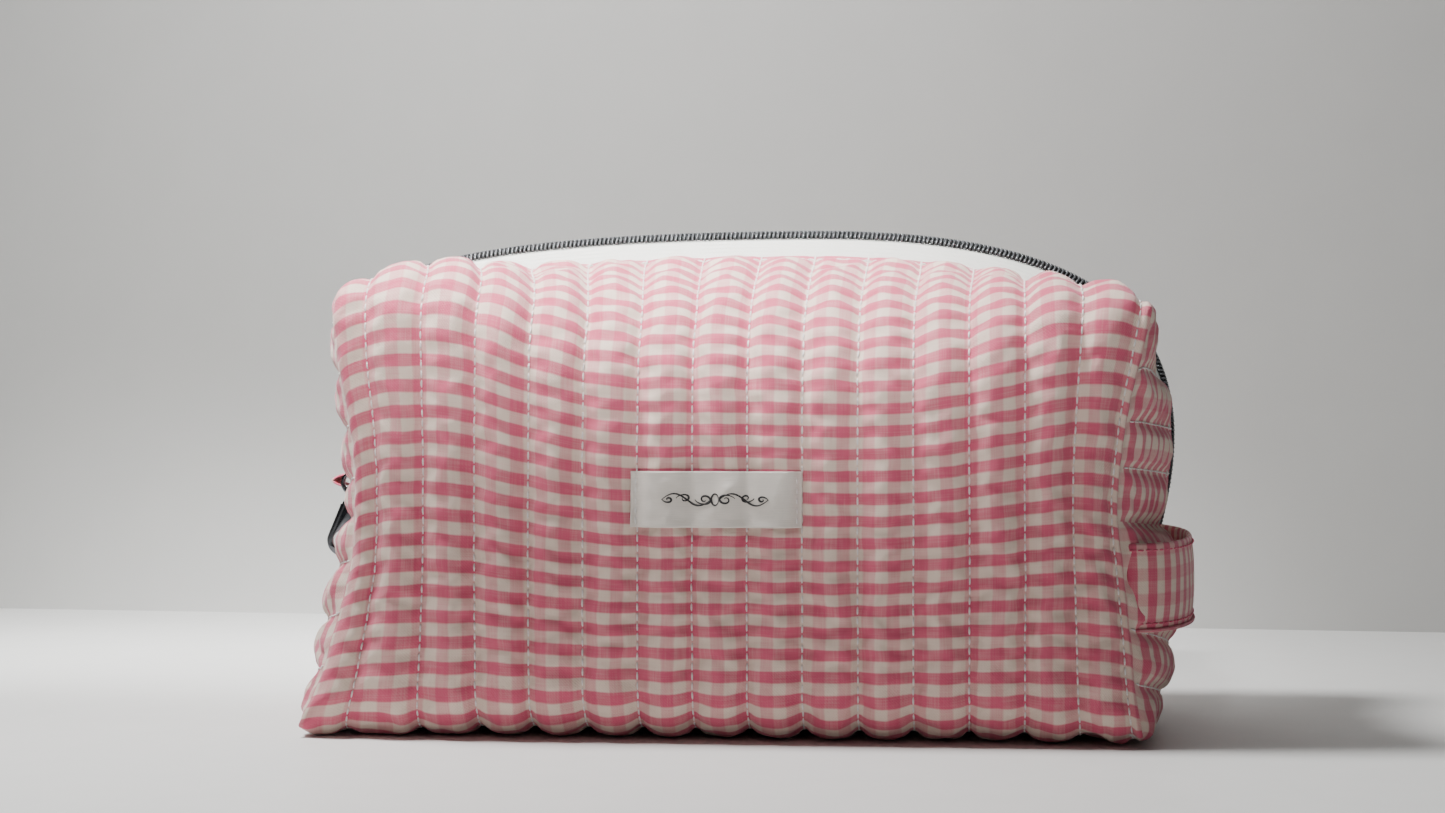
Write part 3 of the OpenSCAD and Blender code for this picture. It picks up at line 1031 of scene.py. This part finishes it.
# ---- stitches ----
def stitch_shape(span, thick):
    """One stitch along X: a short thread that dips into the cloth at both ends."""
    deselect()
    bpy.ops.mesh.primitive_cylinder_add(
        vertices=6, radius=thick / 2, depth=span, rotation=(0, math.pi / 2, 0)
    )
    stitch = apply_place(bpy.context.object)
    bpy.ops.object.mode_set(mode="EDIT")
    for cut in (span * 0.2, -span * 0.2):
        bpy.ops.mesh.select_all(action="SELECT")
        bpy.ops.mesh.bisect(plane_co=(cut, 0, 0), plane_no=(1, 0, 0))
    bpy.ops.object.mode_set(mode="OBJECT")
    found = places(stitch)
    share = np.abs(found[:, 0]) / (span / 2)
    found[:, 1:] *= (1 - 0.45 * share[:, None] ** 3)
    found[:, 2] += thick * 0.45 * (1 - share**2)
    faces = [tuple(p.vertices) for p in stitch.data.polygons]
    bpy.data.objects.remove(stitch)
    return found, faces


def row_of_stitches(name, routes, span=None, pitch=None):
    """Stitches along routes; a route is a line of points and the outward direction at each."""
    size = sizes()
    span = span or size.stitch_length
    pitch = pitch or size.stitch_pitch
    shape, shape_faces = stitch_shape(span, size.stitch_thickness)
    corners, faces, start = [], [], 0
    for line, out in routes:
        gaps = np.linalg.norm(np.diff(line, axis=0), axis=1)
        far = np.concatenate([[0], np.cumsum(gaps)])
        for s in np.arange(pitch * 0.7, far[-1] - pitch * 0.4, pitch):
            first, last, up = (
                np.array([np.interp(s + d, far, field[:, i]) for i in range(3)])
                for d, field in ((-span / 2, line), (span / 2, line), (0.0, out))
            )
            way = last - first
            way /= np.linalg.norm(way)
            across = np.cross(up, way)
            across /= np.linalg.norm(across)
            up = np.cross(way, across)
            corners.append((first + last) / 2 + shape @ np.stack([way, across, up]))
            faces += [tuple(start + i for i in f) for f in shape_faces]
            start += len(shape)
    return new_piece(name, np.vstack(corners), faces)


def quilt_routes(piece, walls, half):
    """The quilting lines of one half as they lie on the finished cloth."""
    found, out = places(piece), normals(piece)
    main, *patches = [index for index_half, index, _ in walls.places_of if index_half == half]
    lines = [main[c] for c in walls.line_columns] + [main[:, walls.parts.lip]]
    keys = [(-1, "upper"), (-1, "lower"), (1, "upper"), (1, "lower")]
    for index, key in zip(patches, keys):
        lines += [index[round(share * walls.parts.half)] for share in END_LINES[key]]
        if key[1] == "upper":
            lines.append(index[:, walls.parts.lip])
    return [(found[line], out[line]) for line in lines]


# ---- tapes and coils ----
def tape_piece(side, name):
    """One zip tape: a woven strip under the wall's edge, with its own thickness."""
    s = np.arange(WAY.start, WAY.finish, 0.0022)
    reach = np.linspace(0, 1, 7)
    width = WAY.tape(s) + 0.0035
    q = 0.0016 + reach[None] * (width[:, None] - 0.0016)
    grid = WAY.across(np.repeat(s[:, None], len(reach), 1), q, side, lift=-0.0009)
    _, out = WAY.at(s)
    sink = np.clip(q - WAY.tape(s)[:, None] + 0.0012, 0, None) * 0.9
    grid[..., 0] -= out[:, 0:1] * sink
    grid[..., 2] -= out[:, 1:2] * sink
    cloth = np.stack(np.broadcast_arrays(s[:, None], q), -1)
    piece = sheet_grid(name, grid, cloth, side < 0)
    add_modifier(piece, "SOLIDIFY", thickness=0.0005, offset=-1.0)
    return piece


def sheet_grid(name, grid, cloth, flip=False):
    """A sheet of cloth from a grid of points and their places on the flat cloth."""
    n, m = grid.shape[:2]
    index = np.arange(n * m).reshape(n, m)
    quads = np.stack([index[:-1, :-1], index[1:, :-1], index[1:, 1:], index[:-1, 1:]], -1)
    flat = np.stack([cloth[:-1, :-1], cloth[1:, :-1], cloth[1:, 1:], cloth[:-1, 1:]], -2)
    if flip:
        quads, flat = quads[..., ::-1], flat[..., ::-1, :]
    return new_piece(name, grid.reshape(-1, 3), quads.reshape(-1, 4), flat.reshape(-1, 4, 2))


def coil_piece(side, name):
    """One half of the coil: a flattened helix whose turns are the zip's teeth."""
    size = sizes()
    turns = int((WAY.finish - WAY.start) / size.coil_pitch)
    per_turn, around = 12, 5
    angle = np.arange(turns * per_turn + 1) * (2 * math.pi / per_turn)
    shift = 0.0 if side < 0 else 0.5
    s = WAY.start + (angle / (2 * math.pi) + shift) * size.coil_pitch
    s = np.minimum(s, WAY.finish)
    middle_q = size.coil_width / 2 - 0.0005
    q = middle_q + (size.coil_width / 2) * np.cos(angle)
    lift = (size.coil_height / 2 - size.coil_wire / 2) * np.sin(angle) - 0.0001
    centre = WAY.across(s, q, side, lift=lift)
    ahead = np.gradient(centre, axis=0)
    ahead /= np.linalg.norm(ahead, axis=1, keepdims=True)
    _, out = WAY.at(s)
    spine = np.column_stack([-out[:, 1], np.zeros(len(s)), out[:, 0]])
    first = np.cross(ahead, spine)
    first /= np.linalg.norm(first, axis=1, keepdims=True)
    second = np.cross(ahead, first)
    ring = np.arange(around) * (2 * math.pi / around)
    tube = (
        centre[:, None]
        + first[:, None] * np.cos(ring)[None, :, None] * size.coil_wire / 2
        + second[:, None] * np.sin(ring)[None, :, None] * size.coil_wire / 2
    )
    n = len(centre)
    index = np.arange(n * around).reshape(n, around)
    ahead_index = np.roll(index, -1, axis=1)
    quads = np.stack([index[:-1], ahead_index[:-1], ahead_index[1:], index[1:]], -1).reshape(-1, 4)
    faces = [tuple(f) for f in quads] + [tuple(index[0][::-1]), tuple(index[-1])]
    piece = new_piece(name, tube.reshape(-1, 3), faces)
    return face_outwards(piece)


# ---- strap, label, tab and metal ----
def tube_along(name, line, radius, around=8, ups=None):
    """A round tube along a line, with closed ends."""
    line = np.asarray(line, float)
    way = np.gradient(line, axis=0)
    way /= np.linalg.norm(way, axis=1, keepdims=True)
    side = np.cross(way, (0.0, 0.0, 1.0) if ups is None else ups)
    side /= np.linalg.norm(side, axis=1, keepdims=True)
    up = np.cross(side, way)
    ring = np.arange(around) * (2 * math.pi / around)
    radius = np.broadcast_to(radius, len(line))[:, None, None]
    tube = line[:, None] + radius * (
        side[:, None] * np.cos(ring)[None, :, None] + up[:, None] * np.sin(ring)[None, :, None]
    )
    far = np.concatenate([[0], np.cumsum(np.linalg.norm(np.diff(line, axis=0), axis=1))])
    index = np.arange(len(line) * around).reshape(-1, around)
    nexts = np.roll(index, -1, axis=1)
    quads = np.stack([index[:-1], nexts[:-1], nexts[1:], index[1:]], -1).reshape(-1, 4)
    cloth = np.stack(np.broadcast_arrays(far[:, None], ring[None] * 0.0007), -1).reshape(-1, 2)
    uvs = [cloth[i] for f in quads for i in f]
    faces = [tuple(f) for f in quads] + [tuple(index[0][::-1]), tuple(index[-1])]
    uvs += [cloth[i] for f in faces[-2:] for i in f]
    return face_outwards(new_piece(name, tube.reshape(-1, 3), faces, uvs))


def strap_way(inset, count=90):
    """The strap's line seen from above, from the front seam round to the back seam."""
    turn = np.linspace(-math.pi / 2, math.pi / 2, count)
    root = seam_place(1, (STRAP_LOW.z + STRAP_HIGH.z) / 2) + 0.0005
    reach_x = STRAP_HIGH.x - 0.0004 - root - inset
    reach_y = -FRONT - STRAP_SETBACK - inset
    fuller = np.sign(np.cos(turn)) * np.abs(np.cos(turn)) ** 0.9
    return np.column_stack([root + reach_x * fuller, reach_y * np.sin(turn)]), turn


def strap_piece(name):
    """A padded band with flat stitched edges and a piped lower edge."""
    outer, turn = strap_way(0.0)
    way = np.gradient(outer, axis=0)
    way /= np.linalg.norm(way, axis=1, keepdims=True)
    out = np.column_stack([way[:, 1], -way[:, 0]])
    height = STRAP_HIGH.z - STRAP_LOW.z
    thick = STRAP_THICKNESS
    across = np.array([0, 0.03, 0.075, 0.11, 0.15, 0.25, 0.38, 0.5, 0.62, 0.75, 0.85, 0.89, 0.925, 0.97, 1])
    fullness = np.array([0.0, 0.5, 0.62, 0.55, 0.7, 0.92, 1, 1, 1, 0.92, 0.7, 0.55, 0.62, 0.5, 0.0])
    ring_z = np.concatenate([across, across[-2:0:-1]])
    ring_d = np.concatenate([thick / 2 * fullness, -thick / 2 * fullness[-2:0:-1]])
    wave = 0.0004 * np.sin(turn * 5 + 0.6)
    grid = np.empty((len(outer), len(ring_z), 3))
    centre = outer - out * thick / 2
    grid[..., 0] = centre[:, 0:1] + out[:, 0:1] * ring_d + (wave[:, None] * (ring_z - 0.3))
    grid[..., 1] = centre[:, 1:2] + out[:, 1:2] * ring_d
    rise = 0.0009 * np.sin(turn * 1.0)[:, None]
    grid[..., 2] = STRAP_LOW.z + height * ring_z + rise
    far = np.concatenate([[0], np.cumsum(np.linalg.norm(np.diff(outer, axis=0), axis=1))])
    fold = np.concatenate([across, 2 - across[-2:0:-1]]) * height
    n, m = grid.shape[:2]
    index = np.arange(n * m).reshape(n, m)
    nexts = np.roll(index, -1, axis=1)
    quads = np.stack([index[:-1], nexts[:-1], nexts[1:], index[1:]], -1).reshape(-1, 4)
    fold_next = np.append(fold[1:], 2 * height)
    flat = np.stack(
        [
            np.stack(np.broadcast_arrays(a, b), -1)
            for a, b in (
                (fold[None], far[:-1, None]), (fold_next[None], far[:-1, None]),
                (fold_next[None], far[1:, None]), (fold[None], far[1:, None]),
            )
        ],
        -2,
    ).reshape(-1, 2)
    faces = [tuple(f) for f in quads] + [tuple(index[0][::-1]), tuple(index[-1])]
    flat = np.vstack([flat, np.zeros((2 * m, 2))])
    band = face_outwards(new_piece(name, grid.reshape(-1, 3), faces, flat))
    subdivide(band)
    bottom = np.column_stack([centre + out * thick * 0.35, STRAP_LOW.z + rise[:, 0] + 0.0004])
    piping = tube_along("piping", bottom, sizes().piping / 2)
    lines = []
    for share in (0.09, 0.91):
        z = STRAP_LOW.z + height * share + rise[:, 0]
        points = np.column_stack([outer - out * thick * 0.20, z])
        lines.append((points, np.column_stack([out, np.zeros(n)])))
    return join([band, piping], name), lines


def bindings_piece(side_x, side_y, name):
    """The tape that binds an upright seam inside the pouch, and follows it."""
    low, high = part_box("front_right_binding")
    width, thick = high.x - low.x, high.y - low.y
    z = np.linspace(low.z, high.z, 24)
    reach = np.linspace(0, 1, 5)
    seam = seam_place(side_x, z) - side_x * BINDING_SETBACK
    grid = np.empty((len(z), len(reach), 3))
    grid[..., 0] = seam[:, None] - side_x * width * reach
    grid[..., 1] = side_y * (BINDING_DEPTH + 0.0004 * np.sin(z * 400)[:, None] - 0.0015 * reach)
    grid[..., 2] = z[:, None]
    cloth = np.stack(np.broadcast_arrays(z[:, None], width * reach[None]), -1)
    piece = sheet_grid(name, grid, cloth)
    add_modifier(piece, "SOLIDIFY", thickness=thick, offset=0.0)
    add_modifier(piece, "BEVEL", width=0.0003, segments=2)
    return face_outwards(piece)


def surface_depth(piece):
    """Finds how far forward the piece's front lies at a place in X and Z."""
    tree_mesh = bmesh.new()
    tree_mesh.from_mesh(piece.data)
    tree = BVHTree.FromBMesh(tree_mesh)
    tree_mesh.free()

    def depth(x, z):
        hit = tree.ray_cast(Vector((x, FRONT - 0.05, z)), Vector((0, 1, 0)))[0]
        return hit.y if hit else FRONT

    return depth


def running_mean(field, reach, axis):
    """The field smoothed along one axis."""
    kernel = np.ones(2 * reach + 1) / (2 * reach + 1)
    return np.apply_along_axis(
        lambda line: np.convolve(np.pad(line, reach, mode="edge"), kernel, "valid"), axis, field
    )


def label_heights(piece, x, z):
    """Depth of the label: it spans the channels and is sewn down at its two short ends."""
    depth = surface_depth(piece)
    cloth = np.array([[depth(a, b) for b in z] for a in x])
    reach = 17
    padded = np.pad(cloth, ((reach, reach), (0, 0)), mode="edge")
    crest = np.min([padded[i : i + len(x)] for i in range(2 * reach + 1)], axis=0)
    for axis in (0, 1):
        crest = running_mean(crest, 8, axis)
    ends = running_mean(cloth, 4, 1)
    free = 0.62 * ease(np.minimum(x - x[0], x[-1] - x)[:, None] / 0.007)
    return np.minimum(ends + (crest - ends) * free, cloth) - 0.0007


def label_piece(quilt_front, name):
    """The satin label, the lines of its sewn ends and its surface, on which the ornament is laid."""
    x = np.linspace(LABEL_LOW.x, LABEL_HIGH.x, 105)
    z = np.linspace(LABEL_LOW.z, LABEL_HIGH.z, 35)
    y = label_heights(quilt_front, x, z)
    lift = 0.0003 * ease((LABEL_LOW.z + 0.003 - z) / 0.003)[None] * np.ones((len(x), 1))
    y = y - lift
    grid = np.stack(np.broadcast_arrays(x[:, None], y, z[None]), -1)
    cloth = np.stack(np.broadcast_arrays(x[:, None], z[None]), -1)
    label = sheet_grid(name, grid, cloth, flip=False)
    add_modifier(label, "SOLIDIFY", thickness=0.0004, offset=1.0)
    face_outwards(label)
    routes = []
    for k in (3, len(x) - 4):
        line = grid[k] + (0, -0.0002, 0)
        routes.append((line, np.tile((0.0, -1.0, 0.0), (len(z), 1))))
    return label, routes, (x, y, z)


def scroll(turns, size, start, flip):
    """Points of a spiral that opens into a long stroke."""
    t = np.linspace(0, 1, 60)
    angle = turns * 2 * math.pi * (1 - t) ** 1.3
    radius = size * (0.12 + 0.88 * t)
    x = start + flip * (radius * np.cos(angle) - size)
    z = radius * np.sin(angle) * (1 - 0.55 * t)
    return x, z


def ornament_piece(field, name):
    """A mirrored scroll of embroidery thread on the label."""
    x, y, z = field
    middle_x, middle_z = (x[0] + x[-1]) / 2, (z[0] + z[-1]) / 2
    strokes = []
    for flip in (-1, 1):
        for size, start, rise, turns in (
            (0.0030, 0.0062, 0.0, 1.4), (0.0024, 0.0118, 0.0004, -1.2), (0.0018, 0.0160, 0.0, 1.1),
        ):
            sx, sz = scroll(turns, size, flip * start, flip)
            strokes.append((sx, sz * flip + rise))
        t = np.linspace(0, 1, 50)
        strokes.append((flip * (0.0012 + 0.0150 * t), 0.0018 * np.sin(t * math.pi * 2.0) * flip))
    t = np.linspace(0, 2 * math.pi, 40)
    strokes.append((0.0011 * np.cos(t), 0.0017 * np.sin(t)))
    parts = []
    for number_of_stroke, (sx, sz) in enumerate(strokes):
        px, pz = middle_x + sx, middle_z + sz
        k = np.clip(np.searchsorted(x, px), 1, len(x) - 1)
        m = np.clip(np.searchsorted(z, pz), 1, len(z) - 1)
        line = np.column_stack([px, y[k, m] - 0.0004, pz])
        width = 0.00012 + 0.00022 * np.sin(np.linspace(0.1, math.pi, len(px))) ** 1.5
        parts.append(tube_along(f"stroke{number_of_stroke}", line, width, 6, ups=(0.0, 1.0, 0.0)))
    return join(parts, name)


def tab_piece(name):
    """A strip of cloth folded into a flat loop, sewn to the end beside the slider."""
    deselect()
    middle = (TAB_LOW + TAB_HIGH) / 2
    extent = TAB_HIGH - TAB_LOW
    bpy.ops.mesh.primitive_grid_add(x_subdivisions=24, y_subdivisions=12, size=1, calc_uvs=True)
    tab = bpy.context.object
    tab.name = name
    found = places(tab)
    turn = (found[:, 0] + 0.5) * 2 * math.pi
    along_tab = 0.5 - 0.5 * np.cos(turn)
    thick = extent.z / 2 * (0.16 + 0.84 * np.sin(math.pi * along_tab * 0.86 + 0.12) ** 1.2)
    found_y = middle.y + found[:, 1] * extent.y * (1 - 0.10 * along_tab)
    dip = 0.0009 * (np.abs(found[:, 1]) * 2) ** 4
    x = TAB_HIGH.x - extent.x * along_tab + dip * along_tab
    z = middle.z + np.where(np.sin(turn) >= 0, 1, -1) * thick * np.abs(np.sin(turn)) ** 0.55
    uv = tab.data.uv_layers[0]
    uv.name = "cloth"
    for loop in tab.data.loops:
        point = found[loop.vertex_index]
        uv.data[loop.index].uv = (point[1] * extent.y, (point[0] + 0.5) * 2 * extent.x)
    move_to(tab, np.column_stack([x, found_y, z]))
    select(tab)
    bpy.ops.object.mode_set(mode="EDIT")
    bpy.ops.mesh.select_all(action="SELECT")
    bpy.ops.mesh.remove_doubles(threshold=1e-5)
    bpy.ops.mesh.normals_make_consistent(inside=False)
    bpy.ops.object.mode_set(mode="OBJECT")
    add_modifier(tab, "SOLIDIFY", thickness=0.0007, offset=-1.0)
    tab.data.shade_smooth()
    subdivide(tab)
    return tab


def eased_copy(node, name, width, segments=3):
    """A copy of a metal node with its edges rounded, as casting and tumbling leave them."""
    deselect()
    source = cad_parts[node]
    piece = bpy.data.objects.new(name, source.data.copy())
    piece.data.name = name
    bpy.context.scene.collection.objects.link(piece)
    select(piece)
    bpy.ops.object.mode_set(mode="EDIT")
    bpy.ops.mesh.select_all(action="SELECT")
    bpy.ops.mesh.remove_doubles(threshold=1e-6)
    bpy.ops.mesh.dissolve_limited(angle_limit=math.radians(2))
    bpy.ops.object.mode_set(mode="OBJECT")
    add_modifier(piece, "BEVEL", width=width, segments=segments, limit_method="ANGLE",
                 angle_limit=math.radians(35))
    select(piece)
    bpy.ops.object.shade_smooth_by_angle(angle=math.radians(40))
    return piece


def keep_inside(piece, covers, gap):
    """Moves the piece's vertices at least a gap below the inside of the covers."""
    trees = []
    for cover in covers:
        mesh = bmesh.new()
        mesh.from_mesh(cover.data)
        trees.append(BVHTree.FromBMesh(mesh))
        mesh.free()
    found = places(piece)
    for i, point in enumerate(found):
        hits = [tree.find_nearest(point) for tree in trees]
        near, normal, _, _ = min(hits, key=lambda hit: hit[3])
        inside = (near - Vector(point)).dot(normal)
        if inside < gap:
            found[i] = point - np.array(normal) * (gap - inside)
    move_to(piece, found)


# ---- operators ----
class PieceMaker:
    """What all of the pouch's operators share."""

    bl_options = {"REGISTER", "UNDO"}


COVER_NODES = {
    -1: ("front_cover", "base_cover", "front_top_cover", "left_end_cover"),
    1: ("back_cover", "back_top_cover", "right_end_cover"),
}
WADDING_NODES = {
    -1: ("front_wadding", "front_top_wadding", "base_wadding", "left_end_wadding"),
    1: ("back_wadding", "back_top_wadding", "right_end_wadding"),
}
LINING_NODES = {
    -1: ("front_lining", "front_top_lining", "base_lining", "left_end_lining"),
    1: ("back_lining", "back_top_lining", "right_end_lining"),
}
TAPE_NODES = {
    -1: ("front_top_tape", "left_front_tape", "right_front_tape"),
    1: ("back_top_tape", "left_back_tape", "right_back_tape"),
}
COIL_NODES = {
    -1: ("front_top_coil", "left_front_coil", "right_front_coil"),
    1: ("back_top_coil", "left_back_coil", "right_back_coil"),
}
SIDE_NAMES = {-1: "front", 1: "back"}


class POUCH_OT_quilt(PieceMaker, bpy.types.Operator):
    """Adds the quilted gingham walls, front and back, and their quilting stitches"""

    bl_idname = "pouch.quilt"
    bl_label = "Quilted Walls"

    def execute(self, context):
        piece, walls = quilt()
        stitches = {side: row_of_stitches(f"{SIDE_NAMES[side]}_quilting", quilt_routes(piece, walls, side))
                    for side in (-1, 1)}
        halves = split_halves(piece, ("front_quilt", "back_quilt"))
        for side, half in zip((-1, 1), halves):
            dress(half, "gingham", "gingham", stands_for=COVER_NODES[side])
            bend_at_mouth(half)
            dress(stitches[side], "thread", "gingham")
            bend_at_mouth(stitches[side])
        return {"FINISHED"}


class POUCH_OT_linings(PieceMaker, bpy.types.Operator):
    """Adds the wadding inside the walls and the lining behind it"""

    bl_idname = "pouch.linings"
    bl_label = "Wadding and Lining"

    def execute(self, context):
        covers = [bpy.data.objects[f"{side}_quilt"] for side in SIDE_NAMES.values()]
        for name, inset, gap, thick, nodes, parts, rounds in (
            ("wadding", 0.0022, 0.0012, 0.0032, WADDING_NODES, FINE, 24),
            ("lining", 0.0066, 0.0052, 0.0005, LINING_NODES, COARSE, 12),
        ):
            walls = Walls(parts)
            corners, faces, uvs, _, _ = walls.both_halves()
            piece = new_piece(name, corners, faces, uvs)
            smooth_folds(piece, np.zeros_like(walls.seam), rounds)
            move_to(piece, places(piece) - normals(piece) * inset)
            keep_inside(piece, covers, gap)
            halves = split_halves(piece, (f"front_{name}_layer", f"back_{name}_layer"))
            for side, half in zip((-1, 1), halves):
                add_modifier(half, "SOLIDIFY", thickness=thick, offset=-1.0)
                dress(half, name, name, stands_for=nodes[side])
                bend_at_mouth(half)
        return {"FINISHED"}


class POUCH_OT_zip(PieceMaker, bpy.types.Operator):
    """Adds the two zip tapes and the two halves of the coil"""

    bl_idname = "pouch.zip"
    bl_label = "Zip"

    def execute(self, context):
        for side in (-1, 1):
            tape = tape_piece(side, f"{SIDE_NAMES[side]}_tape")
            dress(tape, "zip_tape", "zip_tape", stands_for=TAPE_NODES[side])
            bend_at_mouth(tape)
            coil = coil_piece(side, f"{SIDE_NAMES[side]}_coil")
            dress(coil, "zip_coil", "zip_coil", stands_for=COIL_NODES[side])
            bend_at_mouth(coil)
        return {"FINISHED"}


class POUCH_OT_bindings(PieceMaker, bpy.types.Operator):
    """Adds the tapes that bind the four upright seams inside"""

    bl_idname = "pouch.bindings"
    bl_label = "Seam Bindings"

    def execute(self, context):
        for side_y, front_name in SIDE_NAMES.items():
            for side_x, end_name in ((-1, "left"), (1, "right")):
                name = f"{front_name}_{end_name}_binding"
                piece = bindings_piece(side_x, side_y, f"{name}_tape")
                dress(piece, "lining", "lining", "bag_body", [name])
        return {"FINISHED"}


class POUCH_OT_strap(PieceMaker, bpy.types.Operator):
    """Adds the carry strap on the right end, with its topstitching"""

    bl_idname = "pouch.strap"
    bl_label = "Carry Strap"

    def execute(self, context):
        strap, lines = strap_piece("carry_strap")
        dress(strap, "gingham", "gingham", "bag_body", ["handle_strap"])
        stitches = row_of_stitches("strap_topstitch", lines, span=0.0019, pitch=0.0026)
        dress(stitches, "pink_thread", "gingham", "bag_body")
        return {"FINISHED"}


class POUCH_OT_label(PieceMaker, bpy.types.Operator):
    """Adds the satin label on the front, sewn down at its short ends"""

    bl_idname = "pouch.label"
    bl_label = "Label"

    def execute(self, context):
        label, routes, field = label_piece(bpy.data.objects["front_quilt"], "satin_label")
        dress(label, "label_satin", "label_satin", "bag_body", ["front_label"])
        dress(row_of_stitches("label_stitches", routes), "thread", "label_satin", "bag_body")
        dress(ornament_piece(field, "label_ornament"), "ink", "label_satin", "bag_body")
        return {"FINISHED"}


class POUCH_OT_tab(PieceMaker, bpy.types.Operator):
    """Adds the folded cloth tab beside the slider"""

    bl_idname = "pouch.tab"
    bl_label = "End Tab"

    def execute(self, context):
        tab = dress(tab_piece("folded_tab"), "gingham", "gingham", "end_tab", ["zip_end_tab"])
        return {"FINISHED"}


class POUCH_OT_slider(PieceMaker, bpy.types.Operator):
    """Adds the slider, its arch, its link and the pull"""

    bl_idname = "pouch.slider"
    bl_label = "Slider and Pull"

    def execute(self, context):
        for node, name, body, width in (
            ("slider_body", "slider_case", "slider", 0.0006),
            ("slider_crown", "slider_arch", "slider", 0.0004),
            ("pull_tab", "finger_pull", "pull_tab", 0.0004),
        ):
            dress(eased_copy(node, name, width), "dark_chrome", "dark_chrome", body, [node])
        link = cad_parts["pull_link"]
        link.data.materials.clear()
        link.data.materials.append(finish_named("dark_chrome"))
        return {"FINISHED"}


class POUCH_OT_stage(PieceMaker, bpy.types.Operator):
    """Adds the table, the wall behind it, the lights and the camera"""

    bl_idname = "pouch.stage"
    bl_label = "Stage"

    def execute(self, context):
        tint = colours()
        deselect()
        bpy.ops.mesh.primitive_plane_add(size=10.0, location=(0, 0, -0.0002))
        table = apply_place(bpy.context.object)
        table.name = "table"
        deselect()
        bpy.ops.mesh.primitive_plane_add(
            size=10.0, location=(0.0, 0.354, 1.5), rotation=(math.pi / 2, 0, math.radians(-5.0))
        )
        wall = apply_place(bpy.context.object)
        wall.name = "wall"
        table.data.materials.append(surface_finish("table", tint.table, 0.5, 60.0))
        wall.data.materials.append(surface_finish("wall", tint.wall, 0.7, 40.0, one_sided=True))
        self.lights()
        self.camera()
        return {"FINISHED"}

    def area(self, name, place, aim, energy, size):
        """Adds a round soft light."""
        light = bpy.data.lights.new(name, "AREA")
        light.shape = "DISK"
        light.energy = energy
        light.size = size
        lamp = bpy.data.objects.new(name, light)
        lamp.location = place
        lamp.rotation_euler = (Vector(aim) - Vector(place)).to_track_quat("-Z", "Y").to_euler()
        bpy.context.scene.collection.objects.link(lamp)
        return light

    def lights(self):
        """A key from above on the left, a glow on the wall and a strip that lights the upper front."""
        self.area("key", (-0.25, -0.06, 0.62), (0.0, 0.0, 0.10), 7.4, 0.15)
        self.area("wall_glow", (-0.3, 0.1, 1.2), (0.0, 0.5, 0.3), 2.2, 0.8)
        brow = self.area("brow", (-0.22, -0.42, 0.50), (-0.18, -0.05, 0.212), 0.80, 0.5)
        brow.shape = "RECTANGLE"
        brow.size_y = 0.05
        brow.spread = math.radians(24)
        world = bpy.data.worlds.new("studio")
        world.use_nodes = True
        world.node_tree.nodes["Background"].inputs["Color"].default_value = (0.9, 0.95, 1.0, 1)
        world.node_tree.nodes["Background"].inputs["Strength"].default_value = 0.05
        bpy.context.scene.world = world

    def camera(self):
        """A level camera in front of the pouch, a little to its right."""
        data = bpy.data.cameras.new("camera")
        data.lens = 61.8
        data.sensor_width = 36.0
        data.clip_start = 0.01
        data.shift_y = -0.0045
        camera = bpy.data.objects.new("camera", data)
        place = Vector(CAMERA_PLACE)
        aim = Vector((CAMERA_AIM_X, FRONT, CAMERA_PLACE[2]))
        camera.location = place
        camera.rotation_euler = (aim - place).to_track_quat("-Z", "Y").to_euler()
        bpy.context.scene.collection.objects.link(camera)
        bpy.context.scene.camera = camera


class POUCH_PT_panel(bpy.types.Panel):
    """Lists the pouch's pieces"""

    bl_label = "Pouch"
    bl_idname = "POUCH_PT_panel"
    bl_space_type = "VIEW_3D"
    bl_region_type = "UI"
    bl_category = "Pouch"

    def draw(self, context):
        for group in (context.scene.pouch_sizes, context.scene.pouch_colours):
            for name in group.__annotations__:
                self.layout.prop(group, name)
        for operator in OPERATORS:
            self.layout.operator(operator.bl_idname)


OPERATORS = (
    POUCH_OT_stage, POUCH_OT_quilt, POUCH_OT_linings, POUCH_OT_bindings, POUCH_OT_zip,
    POUCH_OT_strap, POUCH_OT_label, POUCH_OT_tab, POUCH_OT_slider,
)
CLASSES = (PouchSizes, PouchColours, *OPERATORS, POUCH_PT_panel)


def register():
    for kind in CLASSES:
        bpy.utils.register_class(kind)
    bpy.types.Scene.pouch_sizes = bpy.props.PointerProperty(type=PouchSizes)
    bpy.types.Scene.pouch_colours = bpy.props.PointerProperty(type=PouchColours)


def unregister():
    del bpy.types.Scene.pouch_colours
    del bpy.types.Scene.pouch_sizes
    for kind in reversed(CLASSES):
        bpy.utils.unregister_class(kind)


def main():
    register()
    for operator in OPERATORS:
        group, name = operator.bl_idname.split(".")
        getattr(getattr(bpy.ops, group), name)()
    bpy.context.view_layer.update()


if __name__ == "__main__":
    main()
